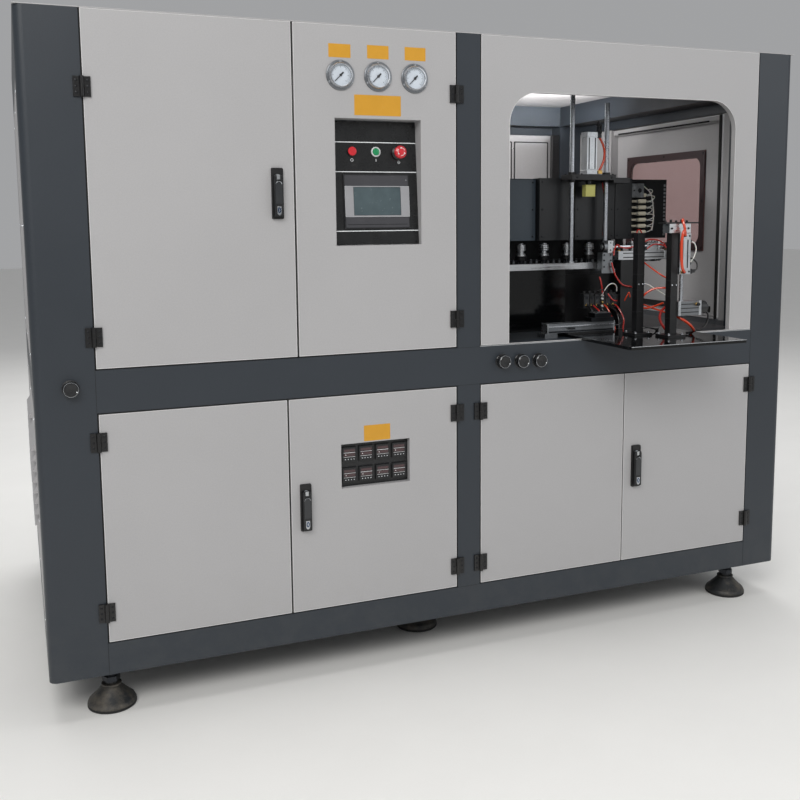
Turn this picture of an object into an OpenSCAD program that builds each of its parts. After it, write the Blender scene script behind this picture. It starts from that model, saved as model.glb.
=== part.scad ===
// Two-cavity stretch blow moulding machine in a free-standing steel cabinet.
// Origin: centre of the footprint, on the floor. +X to the right, +Y towards
// the back of the machine, +Z up. The doors close the front at y = front_y.

/* [Cabinet] */
// Overall width of the cabinet
cab_w = 2654; // [2640:2:2700]
// Depth of the cabinet behind its front plane
cab_d = 1500; // [1490:5:1600]
// Height of the roof above the floor
cab_h = 2043; // [2043:1:2060]
// Gap between the floor and the bottom of the frame
foot_gap = 130; // [120:1:135]
// Wall of the folded columns and rails
frame_t = 3; // [2:0.5:6]
// Radius of the rounded outer corners
corner_r = 25; // [10:1:30]

/* [Doors] */
// Depth of the folded edge of a door
door_d = 22; // [18:1:24]
// Sheet thickness of doors and panels
sheet_t = 2; // [1.5:0.1:3]
// Width of one hinge half
leaf_w = 23.5; // [20:0.5:25]
// Height of a hinge
hinge_h = 55; // [45:1:60]
// Radius of the hinge pin
pin_r = 3; // [2.5:0.1:3.5]
// Radial running clearance of pins and shafts
run_c = 0.05; // [0.02:0.01:0.1]

/* [Window] */
// Left edge of the window opening
win_x0 = 163; // [158:1:168]
// Right edge of the window opening
win_x1 = 1075; // [1070:1:1080]
// Top of the window opening
win_top = 1866; // [1855:0.5:1872]
// Radius of the upper window corners
win_r = 102; // [80:1:110]

/* [Control panel] */
// Left edge of the control recess
rec_x0 = -433; // [-435:1:-431]
// Right edge of the control recess
rec_x1 = -150.5; // [-152:0.5:-149]
// Radius of a push button
btn_r = 11; // [9:0.5:11]
// Radius of the emergency stop head
mush_r = 20; // [18:0.5:21]
// Radius of a pressure gauge flange
gauge_r = 44.5; // [42:0.5:46]
// Radius of a regulator knob
knob_r = 22.5; // [20:0.5:24]

/* [Table and posts] */
// Thickness of the table plate
table_t = 10; // [8:1:12]
// Reach of the table in front of the cabinet
table_reach = 292; // [280:1:300]
// Side of the square posts
post_w = 28; // [26:1:32]

/* [Conveyor] */
// Pitch radius of the chain sprockets
spr_r = 100; // [96:1:100]
// Number of preform holders on the chain
holders = 28; // [26:1:28]

/* [Clamp] */
// Radius of the tie bars
tie_r = 20; // [16:1:22]
// Opening stroke of each platen
clamp_s = 80; // [60:5:80]

/* [Hidden] */
$fn = 48;
fy = -(cab_d - table_reach) / 2;       // front plane of the cabinet
cw = cab_w / 2;
zr = cab_h;                            // roof
zb0 = foot_gap; zb1 = 226.5;           // bottom rails
zm0 = 916; zm1 = 1040;                 // middle rails and deck
zt0 = 1903; zt1 = 1995;                // top rails
xl = -1160; xr = 1174;                 // inner faces of the front columns
yb = cab_d - 120;                      // front face of the rear columns
fa = atan(30 / 386);                   // slope of the control face
spr_y = 550; spr_x0 = -60; spr_x1 = 1040; chain_z = 1283;
clx = -580; cly = 600;                 // centre of the clamp
bottle = [[0, -1], [33, -1], [35, 4], [35, 60], [32, 66], [32, 74], [35, 80], [35, 150], [24, 195], [14, 215], [14, 260], [0, 260]];
hinges_left = [[-1158.5, 1829], [-1158.5, 1135.5], [-1158.5, 832], [-1158.5, 322], [58, 825], [58, 304]];
hinges_right = [[-27.5, 1850], [-27.5, 1136], [-27.5, 826], [-27.5, 303], [1172.5, 836], [1172.5, 321]];
handles = [[-616, 1539], [-549, 567], [675, 575]];
knobs = [[-1228, 993], [138, 987], [208, 984], [276, 982]];
gauges = [[-413, 1892], [-292, 1893], [-171, 1892]];

// ---------- helpers: y is counted from the front plane of the cabinet ----------
module bx(x0, x1, y0, y1, z0, z1) { translate([x0, fy + y0, z0]) cube([x1 - x0, y1 - y0, z1 - z0]); }
module cz(x, y, z0, z1, r) { translate([x, fy + y, z0]) cylinder(h = z1 - z0, r = r); }
module cy(x, y0, y1, z, r) { translate([x, fy + y0, z]) rotate([-90, 0, 0]) cylinder(h = y1 - y0, r = r); }
module cx(x0, x1, y, z, r) { translate([x0, fy + y, z]) rotate([0, 90, 0]) cylinder(h = x1 - x0, r = r); }
// rectangular tube along one axis, open at its ends
module tube_x(x0, x1, y0, y1, z0, z1, t) {
  difference() { bx(x0, x1, y0, y1, z0, z1); bx(x0 - 1, x1 + 1, y0 + t, y1 - t, z0 + t, z1 - t); }
}
module tube_y(x0, x1, y0, y1, z0, z1, t) {
  difference() { bx(x0, x1, y0, y1, z0, z1); bx(x0 + t, x1 - t, y0 - 1, y1 + 1, z0 + t, z1 - t); }
}
module tube_z(x0, x1, y0, y1, z0, z1, t) {
  difference() { bx(x0, x1, y0, y1, z0, z1); bx(x0 + t, x1 - t, y0 + t, y1 - t, z0 - 1, z1 + 1); }
}
// rectangle with one rounded corner at the origin
module rc_2d(w, d, r) {
  difference() {
    square([w, d]);
    difference() { translate([-1, -1]) square(r + 1); translate([r, r]) circle(r, $fn = 64); }
  }
}
// folded column with one rounded outer corner; sx, sy point inwards from that corner
module column(x, y, w, d, sx, sy) {
  translate([x, fy + y, zb0]) mirror([sx < 0 ? 1 : 0, 0, 0]) mirror([0, sy < 0 ? 1 : 0, 0])
    linear_extrude(zr - 3 - zb0) difference() {
      rc_2d(w, d, corner_r);
      translate([frame_t, frame_t]) rc_2d(w - 2 * frame_t, d - 2 * frame_t, corner_r - frame_t);
    }
}
// folded pan whose skin faces the front
module pan(x0, x1, z0, z1, d = door_d, t = sheet_t) {
  difference() { bx(x0, x1, 0, d, z0, z1); bx(x0 + t, x1 - t, t, d + 1, z0 + t, z1 - t); }
}
// round-cornered rectangle in the x-z plane, centred, as a straight body along y
module rslab(w, h, r, y0, y1) {
  translate([0, y0, 0]) rotate([-90, 0, 0]) linear_extrude(y1 - y0) union() {
    square([w - 2 * r, h], center = true); square([w, h - 2 * r], center = true);
    for (i = [-1, 1], j = [-1, 1]) translate([i * (w / 2 - r), j * (h / 2 - r)]) circle(r);
  }
}
// door half of a lift-off hinge at axis x, height z; s = 1 when the door is on its right
module leaf_moving(x, z, s) {
  translate([x, fy - 6.7, z]) mirror([s < 0 ? 1 : 0, 0, 0]) difference() {
    union() {
      translate([7.2, 1.7, -hinge_h / 2]) cube([leaf_w - 7.2, 4.8, hinge_h]);
      translate([0, 1.7, 0.25]) cube([8, 4.8, hinge_h / 2 - 0.25]);
      translate([0, 0, 0.25]) cylinder(h = hinge_h / 2 - 0.25, r = 6.5);
    }
    translate([0, 0, -1]) cylinder(h = hinge_h, r = pin_r + run_c);
  }
}
// frame half with the pin fixed in it
module leaf_fixed(x, z, s) {
  translate([x, fy - 6.7, z]) mirror([s < 0 ? 1 : 0, 0, 0]) {
    union() {
      translate([-leaf_w, 1.9, -hinge_h / 2]) cube([leaf_w - 7.2, 4.8, hinge_h]);
      translate([-8, 1.9, -hinge_h / 2]) cube([8, 4.6, hinge_h / 2 - 0.25]);
      translate([0, 0, -hinge_h / 2]) cylinder(h = hinge_h / 2 - 0.25, r = 6.5);
      translate([0, 0, -hinge_h / 2]) cylinder(h = hinge_h - 2, r = pin_r);
    }
  }
}
// frame of the inclined control face: x along the face, y up it, z out of it
module on_face(x, u) {
  translate([x, fy + 20 + u * sin(fa), 1382 + u * cos(fa)]) rotate([90 - fa, 0, 0]) children();
}

// ---------- frame and fixed sheet metal ----------
module frame_columns() color("#3c434b") {
  difference() {
    column(-cw, 0, cw + xl, 150, 1, 1);
    cy(knobs[0][0], -1, 20, knobs[0][1], 5 + run_c);
  }
  column(cw, 0, cw - xr, 150, -1, 1);
  column(-cw, cab_d, cw + xl, 120, 1, -1);
  column(cw, cab_d, cw - xr, 120, -1, -1);
  difference() {                                      // front mullion, upper part
    tube_z(-25.5, 56, 0, 90, zm1, zr - 3, frame_t);
    bx(-30, 66, 29, 95, zt0 - 0.5, zr);
  }
  tube_z(-25.5, 56, 0, 90, zb1, zm0, frame_t);        // front mullion, lower part
  tube_z(-25.5, 56, yb + 20, yb + 77.5, zm1, zt0, frame_t);
  tube_z(-25.5, 56, yb + 20, yb + 77.5, zb1, zm0, frame_t);
}

module top_side_rail(s) {
  x0 = xr; x1 = cw;
  mirror([s < 0 ? 1 : 0, 0, 0]) difference() {
    union() { bx(x0, x1, 150, yb, zt0, zr - 3); bx(1285, x1, 150, yb, 1865, zt0 + 1); }
    bx(x0 + frame_t, x1 - frame_t, 149, yb + 1, zt0 + frame_t, zr - 3 - frame_t);
    bx(1285 + frame_t, x1 - frame_t, 149, yb + 1, 1865 + frame_t, zt0 + frame_t + 1);
  }
}

module frame_rails() color("#3c434b") {
  tube_x(xl, xr, 0, 100, zb0, zb1, frame_t);
  difference() {
    tube_x(xl, xr, 0, 100, zm0, zm1, frame_t);
    for (k = [1:3]) cy(knobs[k][0], -1, 20, knobs[k][1], 5 + run_c);
  }
  tube_x(xl, xr, 30, 150, zt0, zr - 3, frame_t);
  tube_x(xl, xr, yb, cab_d, zb0, zb1, frame_t);
  tube_x(xl, xr, yb, cab_d, zm0, zm1, frame_t);
  tube_x(xl, xr, yb, cab_d, zt0, zr - 3, frame_t);
  bx(xl, xr, cab_d - 42, cab_d - 37, 1865, zt0 - 0.5);
  for (s = [-1, 1]) {
    mirror([s < 0 ? 1 : 0, 0, 0]) {
      tube_y(1177, cw, 150, yb, zb0, zb1, frame_t);
      tube_y(1177, cw, 150, yb, zm0, zm1, frame_t);
    }
    top_side_rail(s);
  }
  tube_y(-120, -20, 100.5, yb - 0.5, zb0, zb1, frame_t);
}

module deck_plates() color("#39414a") {
  difference() {
    bx(-1176.5, 1176.5, 100.5, yb - 0.5, 1034, zm1);
    for (x = [spr_x0, spr_x1]) cz(x, spr_y, 1000, 1100, 20);
    bx(-1180, xl + 1, 90, 150.5, 1000, 1100);
    bx(xr - 1, 1180, 90, 150.5, 1000, 1100);
  }
  difference() {
    bx(-1176.5, 1176.5, 100.5, yb - 0.5, zb1 + 0.5, zb1 + 4.5);
    bx(-1180, xl + 1, 90, 150.5, 200, 300);
    bx(xr - 1, 1180, 90, 150.5, 200, 300);
  }
}

module levelling_foot(x, y) {
  translate([x, fy + y, 0]) {
    rotate_extrude($fn = 64) polygon([[0, 0], [70, 0], [72, 3], [72, 13], [68, 21], [57, 31], [42, 46], [31, 58], [27, 62], [0, 62]]);
    cylinder(h = foot_gap - 0.5, r = 20);
    translate([0, 0, 78]) cylinder(h = 15, r = 27, $fn = 6);
    translate([0, 0, foot_gap - 12.5]) cylinder(h = 12, r = 30);
  }
}
module levelling_feet() color("#2b2d2f") {
  for (p = [[-1150, 85], [1165, 85], [-70, 260], [-1150, 1415], [1165, 1415], [-70, 1240]]) levelling_foot(p[0], p[1]);
}

// row of pressed louvres on a side wall, opening downwards
module louvres(y0, z0, n, len) {
  for (i = [0:n - 1]) translate([-cw, fy + y0, z0 + i * 34])
    rotate([-90, 0, 0]) mirror([0, 1, 0]) linear_extrude(len) polygon([[1, 0], [-13.2, 0], [-13.2, 3], [1, 24]]);
}
module fixed_panels() color("#b7b5b5") {
  // left side, upper and lower
  difference() {
    bx(-cw, -cw + 22, 150.5, yb - 0.5, zm1 + 1, 1864);
    bx(-cw + sheet_t, -cw + 23, 152.5, yb - 2.5, zm1 + 3, 1862);
  }
  difference() {
    union() {
      bx(-cw, -cw + 22, 150.5, yb - 0.5, zb1 + 1, zm0 - 1);
      louvres(300, 520, 8, 380); louvres(850, 520, 8, 380);
    }
    bx(-cw + sheet_t, -cw + 23, 152.5, yb - 2.5, zb1 + 3, zm0 - 3);
  }
  // right side, lower
  difference() {
    bx(cw - 22, cw, 150.5, yb - 0.5, zb1 + 1, zm0 - 1);
    bx(cw - 23, cw - sheet_t, 152.5, yb - 2.5, zb1 + 3, zm0 - 3);
  }
  // right side, upper: fixed strips before and behind the side door
  tube_z(cw - 37, cw, 150.5, 322, zm1 + 1, 1864, 2);
  tube_z(cw - 37, cw, 1109, yb - 0.5, zm1 + 1, 1864, 2);
  // rear wall, upper: frame sheet with three screwed covers
  difference() {
    bx(xl + 1, xr - 1, cab_d - 34, cab_d - 30, zm1 + 1, 1864);
    bx(-1090, -60, cab_d - 40, cab_d, 1100, 1831);
    bx(90, 950, cab_d - 40, cab_d, 1100, 1831);
    bx(967, 1154, cab_d - 40, cab_d, 1100, 1831);
  }
  tube_x(-1086, -64, cab_d - 36, cab_d - 14, 1104, 1827, 2);
  tube_x(94, 946, cab_d - 36, cab_d - 14, 1104, 1827, 2);
  tube_x(971, 1150, cab_d - 36, cab_d - 14, 1104, 1827, 2);
  // rear wall, lower
  tube_x(xl + 1, -30, cab_d - 34, cab_d - 14, zb1 + 1, zm0 - 1, 2);
  tube_x(53, xr - 1, cab_d - 34, cab_d - 14, zb1 + 1, zm0 - 1, 2);
  // roof sheet and ceiling sheet
  translate([0, 0, zr - 3]) linear_extrude(3) union() {
    translate([-cw, fy]) square([2 * cw, cab_d - corner_r]);
    translate([-cw + corner_r, fy]) square([2 * cw - 2 * corner_r, cab_d]);
    for (s = [-1, 1]) translate([s * (cw - corner_r), fy + cab_d - corner_r]) circle(corner_r);
  }
  bx(xl + 1, xr - 1, 151, yb - 1, 1995, 1998);
}

// window outline grown by o, with two rounded upper corners, extruded along y
module win_shape(o, z0, y0, y1) translate([0, fy + y1, 0]) rotate([90, 0, 0]) linear_extrude(y1 - y0) union() {
  translate([win_x0 - o, z0]) square([win_x1 - win_x0 + 2 * o, win_top - win_r - z0]);
  translate([win_x0 + win_r, z0]) square([win_x1 - win_x0 - 2 * win_r, win_top + o - z0]);
  for (x = [win_x0 + win_r, win_x1 - win_r]) translate([x, win_top - win_r]) circle(win_r + o, $fn = 96);
}
module window_panel() color("#b7b5b5") difference() {
  union() {
    pan(60.5, 1170, 1044, 2039.5);
    win_shape(sheet_t, 1044, 0.5, door_d);
  }
  win_shape(0, 1040, -1, door_d + 1);
}

// ---------- doors ----------
module upper_left_door() color("#b7b5b5") {
  difference() {
    pan(-1155.5, -565, 1044.5, 2039.5);
    cy(handles[0][0], -1, 5, handles[0][1] + 48, 9.5);
  }
  color("#17181a") { leaf_moving(hinges_left[0][0], hinges_left[0][1], 1); leaf_moving(hinges_left[1][0], hinges_left[1][1], 1); }
}
module control_door() color("#b7b5b5") {
  difference() {
    union() {
      pan(-558.5, -30, 1044.5, 2039.5);
      bx(rec_x0 - sheet_t, rec_x1 + sheet_t, 1, 84, 1380 - sheet_t, 1766 + sheet_t);
    }
    bx(rec_x0, rec_x1, -1, 90, 1380, 1766);
    for (g = gauges) cy(g[0], -1, 5, g[1], 32);
  }
  color("#17181a") { leaf_moving(hinges_right[0][0], hinges_right[0][1], -1); leaf_moving(hinges_right[1][0], hinges_right[1][1], -1); }
}
module lower_door_1() color("#b7b5b5") {
  pan(-1155.5, -601.5, 230.5, 911.5);
  color("#17181a") { leaf_moving(hinges_left[2][0], hinges_left[2][1], 1); leaf_moving(hinges_left[3][0], hinges_left[3][1], 1); }
}
module lower_door_2() color("#b7b5b5") {
  difference() {
    union() { pan(-595.5, -30, 230.5, 911.5); bx(-432, -195, 1, 84, 611.5, 758); }
    bx(-430, -197, -1, 90, 613.5, 756);
    cy(handles[1][0], -1, 5, handles[1][1] + 48, 9.5);
  }
  color("#17181a") { leaf_moving(hinges_right[2][0], hinges_right[2][1], -1); leaf_moving(hinges_right[3][0], hinges_right[3][1], -1); }
}
module lower_door_3() color("#b7b5b5") {
  pan(60.5, 620, 230.5, 911.5);
  color("#17181a") { leaf_moving(hinges_left[4][0], hinges_left[4][1], 1); leaf_moving(hinges_left[5][0], hinges_left[5][1], 1); }
}
module lower_door_4() color("#b7b5b5") {
  difference() { pan(624.5, 1170, 230.5, 911.5); cy(handles[2][0], -1, 5, handles[2][1] + 48, 9.5); }
  color("#17181a") { leaf_moving(hinges_right[4][0], hinges_right[4][1], -1); leaf_moving(hinges_right[5][0], hinges_right[5][1], -1); }
}
// hinge halves of the side door, turned onto the right-hand wall
module side_hinge(z, moving) {
  translate([cw, fy + 1107, z]) rotate([0, 0, 90]) translate([0, -fy, -z])
    if (moving) leaf_moving(0, z, -1); else leaf_fixed(0, z, -1);
}
module side_door() color("#b7b5b5") {
  difference() {
    bx(cw - 30, cw, 358, 1105, 1052, 1837);
    bx(cw - 31, cw - sheet_t, 360, 1103, 1054, 1835);
    translate([cw - 3, fy + 743, 1524]) rotate([0, 0, -90]) rslab(494, 360, 40, -2, 8);
  }
  color("#17181a") { side_hinge(1700, true); side_hinge(1190, true); }
}

module side_window() color("#6b3a3c") difference() {
  bx(cw - 8.2, cw - 2.2, 468, 1018, 1316, 1732);
  for (y = [480, 743, 1006], z = [1328, 1524, 1720]) if (y != 743 || z != 1524) cx(cw - 9, cw, y, z, 2.2);
}

module hinge_halves() color("#17181a") {
  for (h = hinges_left) leaf_fixed(h[0], h[1], 1);
  for (h = hinges_right) leaf_fixed(h[0], h[1], -1);
  side_hinge(1700, false); side_hinge(1190, false);
}

// ---------- swing handles ----------
module handle_base(i) color("#17181a") translate([handles[i][0], fy, handles[i][1]]) difference() {
  rslab(35, 150, 4, -7, -0.3);
  translate([0, -10, 48]) rotate([-90, 0, 0]) cylinder(h = 12, r = 9 + run_c);
}
module handle_spindle(i) color("#9a9da0") translate([handles[i][0], fy, handles[i][1] + 48]) mirror([i == 0 ? 0 : 1, 0, 0]) difference() {
  union() {
    translate([0, -8, 0]) rotate([-90, 0, 0]) cylinder(h = 33, r = 9);
    translate([-5, -18, -7]) cube([10, 11, 14]);
    translate([-10, 24, -10]) cube([52, 5, 20]);
  }
  translate([-6, -14, 0]) rotate([0, 90, 0]) cylinder(h = 12, r = 2.5 + run_c);
}
module handle_lever(i) color("#101112") translate([handles[i][0], fy, handles[i][1]]) {
  difference() {
    union() {
      translate([-13, -20, -68]) cube([26, 11.7, 116]);
      translate([-13, -14, 48]) rotate([0, 90, 0]) cylinder(h = 26, r = 5.7);
    }
    translate([-5.4, -21, 37]) cube([10.8, 14, 20]);
  }
  translate([-12, -14, 48]) rotate([0, 90, 0]) cylinder(h = 24, r = 2.5);
}
module handle_base_1() handle_base(0);
module handle_base_2() handle_base(1);
module handle_base_3() handle_base(2);
module handle_spindle_1() handle_spindle(0);
module handle_spindle_2() handle_spindle(1);
module handle_spindle_3() handle_spindle(2);
module handle_lever_1() handle_lever(0);
module handle_lever_2() handle_lever(1);
module handle_lever_3() handle_lever(2);

// ---------- control panel ----------
module control_face() color("#15161a") on_face(0, 0) difference() {
  translate([rec_x0 + 0.5, 0, -3]) cube([rec_x1 - rec_x0 - 1, 382, 3]);
  for (b = [[-365.7, 288.4], [-286.4, 288], [-209.7, 286.5]]) translate([b[0], b[1], -5]) cylinder(h = 8, r = btn_r + 0.3);
  translate([-389.5, 56.5, -5]) cube([200, 154, 8]);
}
module touch_panel() color("#4a4b50") on_face(-289.5, 133.5) {
  translate([-108.5, -84, 0.2]) cube([217, 168, 6]);
  translate([-99, -76, -42]) cube([198, 152, 43]);
}
module push_button(x, u) on_face(x, u) union() {
  translate([0, 0, -30]) cylinder(h = 35, r = btn_r - 0.2);
  translate([0, 0, 4]) cylinder(h = 2.5, r = btn_r - 1);
}
module stop_button() color("#c8202a") push_button(-365.7, 288.4);
module start_button() color("#0f8a4c") push_button(-286.4, 288);
module emergency_stem() color("#c0c2c4") on_face(-209.7, 286.5) {
  translate([0, 0, -30]) cylinder(h = 42, r = btn_r - 0.2);
  translate([0, 0, 11]) cylinder(h = 11, r = 7);
}
module emergency_head() color("#c8202a") on_face(-209.7, 286.5) difference() {
  rotate_extrude($fn = 64) polygon([[0, 12.3], [mush_r - 4, 12.3], [mush_r, 15], [mush_r, 19], [mush_r - 2, 22.5], [mush_r - 7, 25.5], [6, 27], [0, 27.2]]);
  translate([0, 0, 10]) cylinder(h = 12.5, r = 7 + run_c);
}
module gauge_cases() color("#c4c6c8") for (g = gauges) translate([g[0], fy, g[1]]) rotate([90, 0, 0]) difference() {
  rotate_extrude($fn = 64) polygon([[0, -28], [31, -28], [31, 0.3], [gauge_r, 0.3], [gauge_r, 3.5], [38, 4.5], [36, 11], [32, 11], [32, 4], [0, 4]]);
  translate([0, 0, -1]) cylinder(h = 8, r = 1.5 + run_c);
}
module gauge_needle(i) color("#17181a") translate([gauges[i][0], fy, gauges[i][1]]) rotate([90, 0, 0]) {
  translate([0, 0, 0]) cylinder(h = 7, r = 1.5);
  translate([0, 0, 5.5]) cylinder(h = 2, r = 4);
  translate([0, 0, 6]) rotate([0, 0, 225]) translate([-9, -1.1, 0]) cube([34, 2.2, 1]);
}
module gauge_needle_1() gauge_needle(0);
module gauge_needle_2() gauge_needle(1);
module gauge_needle_3() gauge_needle(2);

module temperature_controllers() color("#1a1a1d") {
  for (i = [0:3], j = [0:1]) translate([-398 + i * 56.5, fy, 651 + j * 67]) union() {
    translate([-24, 14, -24]) cube([48, 6, 48]);
    translate([-22.3, 19, -22.3]) cube([44.6, 52, 44.6]);
  }
  difference() {
    bx(-429.5, -197.5, 20.3, 22, 614, 755.5);
    for (i = [0:3], j = [0:1]) bx(-398 + i * 56.5 - 22.6, -398 + i * 56.5 + 22.6, 10, 30, 651 + j * 67 - 22.6, 651 + j * 67 + 22.6);
  }
}

module regulator_knob(k) color("#141517") translate([knobs[k][0], fy, knobs[k][1]]) rotate([90, 0, 0]) {
  rotate_extrude($fn = 64) polygon([[0, 2], [knob_r, 2], [knob_r, 19], [knob_r - 1.5, 23], [knob_r - 4.5, 25.5], [0, 26]]);
  translate([0, 0, -12]) cylinder(h = 15, r = 5);
}
module regulator_knob_1() regulator_knob(0);
module regulator_knob_2() regulator_knob(1);
module regulator_knob_3() regulator_knob(2);
module regulator_knob_4() regulator_knob(3);

// ---------- table, posts and air cylinders in the window ----------
module table_plate() color("#141518") bx(445, 900, -table_reach, 160, zm1, zm1 + table_t);

module square_post(x, y) {
  z = zm1 + table_t;
  tube_z(x - post_w / 2, x + post_w / 2, y - post_w / 2, y + post_w / 2, z + 8, 1404, 3);
  bx(x - 36, x + 36, y - 36, y + 36, z, z + 8);
}
module black_brackets() color("#141518") {
  square_post(662, -15);
  square_post(731, -109);
  difference() {                                       // bridge between the two guide rods
    bx(560, 749, 262, 338, 1597, 1617);
    for (x = [582, 731]) cz(x, 300, 1590, 1630, 9 + run_c);
    cz(655, 300, 1590, 1630, 7.5);
  }
  bx(763, 832, 240, 285, zm1, 1299.5);                 // column under the transfer cylinder
  bx(746.2, 764, 250, 270, 1130, 1170);                // bracket of the valve block
  bx(80, 110, 286, 314, zm1, 1267.5);                  // support under the left end of the bar
  bx(62, 92, 392, 404, zm1, 1500);                     // oven supports
  bx(845, 875, 392, 404, zm1, 1500);
  bx(446, 640, 92, 148, zm1 + table_t, 1055.8);        // bar under the slide
  bx(745.2, 747.8, -126, -94, 1288, 1400);             // bracket of the lift cylinder
  bx(686, 820, -130, -88, 1436, 1441);                 // cap plate over the posts
  bx(112, 560, 301, 304, zm1, 1267.5);                 // guard sheet under the bar
  conveyor_bed();
}

module barrel_y(x, y0, y1, z, a, r) { difference() { bx(x - a, x + a, y0, y1, z - a, z + a); cy(x, y0 + 10, y1 - 10, z, r); } }
module pneumatic_cylinders() color("#c9cbcd") {
  difference() {                                       // cylinder on the bridge
    bx(634, 677, 280, 320, 1617.5, 1772);
    cz(655, 300, 1627, 1762, 16); cz(655, 300, 1600, 1640, 7 + run_c);
  }
  bx(751, 976, 238, 272, 1300, 1333);                  // transfer cylinder on its column
  difference() {                                       // lift cylinder on the right post
    bx(748, 791, -128, -91, 1264, 1403);
    cz(769.5, -110, 1274, 1396, 12); cz(769.5, -110, 1250, 1284, 6 + run_c);
  }
  bx(604, 746, 244, 276, 1123, 1178);                  // valve block
  difference() {                                       // rodless slide body
    bx(371, 640, 100, 140, 1056, 1089);
    for (y = [108, 132]) bx(366, 650, y - 3, y + 3, 1084, 1094);
    for (y = [98, 138]) bx(366, 650, y, y + 4, 1068, 1074);
  }
  bx(355, 405, 93, 147, zm1, 1055.5);
  // clamp cylinders in the two end plates
  difference() {
    for (y = [[150.5, 330], [870, 1049.5]]) cy(clx, y[0], y[1], 1285, 60);
    cy(clx, 165, 315, 1285, 45); cy(clx, 885, 1035, 1285, 45);
    cy(clx, 310, 340, 1285, 18 + run_c); cy(clx, 860, 890, 1285, 18 + run_c);
  }
  // blow cylinders
  for (x = [clx - 150, clx + 150]) difference() {
    cz(x, cly, 1640.5, 1790, 30); cz(x, cly, 1650, 1780, 24); cz(x, cly, 1630, 1660, 8 + run_c);
  }
}

module guide_rods() color("#d5d8da") {
  cz(582, 300, 1291.5, 1994, 9);
  cz(731, 300, 1291.5, 1882, 9);
  for (x = [-170, 170], z = [1120, 1450]) cy(clx + x, 100, 1100, z, tie_r);
}

module aluminium_rails() color("#aeb1b4") {
  bx(60, 745, 287, 313, 1268, 1291);
  difference() {                                       // bearing bracket at the right end of the bar
    union() {
      bx(676, 735, 236, 313, 1252, 1267.5);
      bx(679, 722, 236, 270, 1260, 1328.5);
      bx(699.5, 722, 232, 270, 1328, 1373);
    }
    cx(690, 730, 251, 1350, 6 + run_c);
  }
  bx(703, 790, -128, -92, 1404.5, 1435.5);             // block over the lift cylinder
  bx(57, 444, -0.5, 22, zm1, zm1 + 2.5);
  bx(901, 1171, -0.5, 22, zm1, zm1 + 2.5);
}

// ---------- oven and conveyor ----------
module cover(x0, x1, y0, y1, z0, z1) difference() {
  bx(x0, x1, y0, y1, z0, z1); bx(x0 + 2, x1 - 2, y0 + 2, y1 + 1, z0 + 2, z1 - 2);
}
module oven_boxes() color("#1b1d20") {
  cover(60, 467, 366, 391, 1375, 1604);
  cover(470, 620, 341, 391, 1375, 1606);
  cover(623, 798, 341, 391, 1375, 1606);
  cover(801, 877, 341, 391, 1375, 1606);
  bx(60, 920, 540, 543, 1240.3, 1371.5);               // heat shield behind the front row
  difference() { bx(-20, 1185, 540, 600, 1372, 1612); bx(-18, 1183, 542, 601, 1374, 1610); }
}
module oven_lamps() color("#e6e0cf") for (i = [0:6]) {
  cx(20, 1030, 515, 1398 + i * 25, 5);
  cx(0, 20.5, 515, 1398 + i * 25, 8);
  cx(1029.5, 1063, 515, 1398 + i * 25, 8);
}
// racetrack outline around the two sprockets
module track_2d(r) {
  translate([spr_x0, -r]) square([spr_x1 - spr_x0, 2 * r]);
  for (x = [spr_x0, spr_x1]) translate([x, 0]) circle(r, $fn = 96);
}
module conveyor_bed() {
  difference() { bx(60, 920, 421, 679, zm1, 1240); bx(63, 917, 424, 676, zm1 - 1, 1237); }
  for (y = [spr_y - spr_r, spr_y + spr_r]) bx(60, 920, y - 14, y + 14, 1240, 1281.5);
}
// position and direction of holder i along the chain
loop_len = 2 * (spr_x1 - spr_x0) + 2 * PI * spr_r;
function hold_s(i) = (loop_len / holders) * i + 7;
function hold_pos(s) = let (l = spr_x1 - spr_x0, h = PI * spr_r)
  s < l ? [spr_x0 + s, spr_y - spr_r] :
  s < l + h ? [spr_x1 + spr_r * sin((s - l) / spr_r * 180 / PI), spr_y - spr_r * cos((s - l) / spr_r * 180 / PI)] :
  s < 2 * l + h ? [spr_x1 - (s - l - h), spr_y + spr_r] :
  [spr_x0 - spr_r * sin((s - 2 * l - h) / spr_r * 180 / PI), spr_y + spr_r * cos((s - 2 * l - h) / spr_r * 180 / PI)];
module conveyor_chain() color("#1a1b1e") {
  for (z = [chain_z, chain_z + 13]) translate([0, fy + spr_y, z]) linear_extrude(3) difference() {
    track_2d(spr_r + 6); track_2d(spr_r - 6);
  }
  for (i = [0:holders - 1]) let (p = hold_pos(hold_s(i))) cz(p[0], p[1], chain_z + 15, chain_z + 31, 22);
}
module preform_spindles() color("#d5d8da") for (i = [0:holders - 1]) let (p = hold_pos(hold_s(i)))
  translate([p[0], fy + p[1], chain_z + 31.5]) rotate_extrude($fn = 32)
    polygon([[0, 0], [18, 0], [18, 8], [13, 11], [13, 19], [19, 22], [19, 34], [16, 37], [10.5, 38], [10.5, 48], [0, 49]]);
module sprocket(x) translate([x, fy + spr_y, 0]) {
  translate([0, 0, chain_z + 5]) difference() {
    cylinder(h = 6, r = spr_r + 3, $fn = 64);
    for (i = [0:19]) rotate([0, 0, i * 18]) translate([spr_r + 4, 0, -1]) cylinder(h = 8, r = 8, $fn = 24);
    for (i = [0:4]) rotate([0, 0, i * 72]) translate([58, 0, -1]) cylinder(h = 8, r = 20);
  }
  translate([0, 0, chain_z - 12]) cylinder(h = 34, r = 28);
}
module drive_sprocket() color("#8d9195") {
  sprocket(spr_x1); cz(spr_x1, spr_y, 985, 1272, 15);
}
module idler_sprocket() color("#8d9195") {
  sprocket(spr_x0); cz(spr_x0, spr_y, 985, 1272, 15);
}

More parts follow.
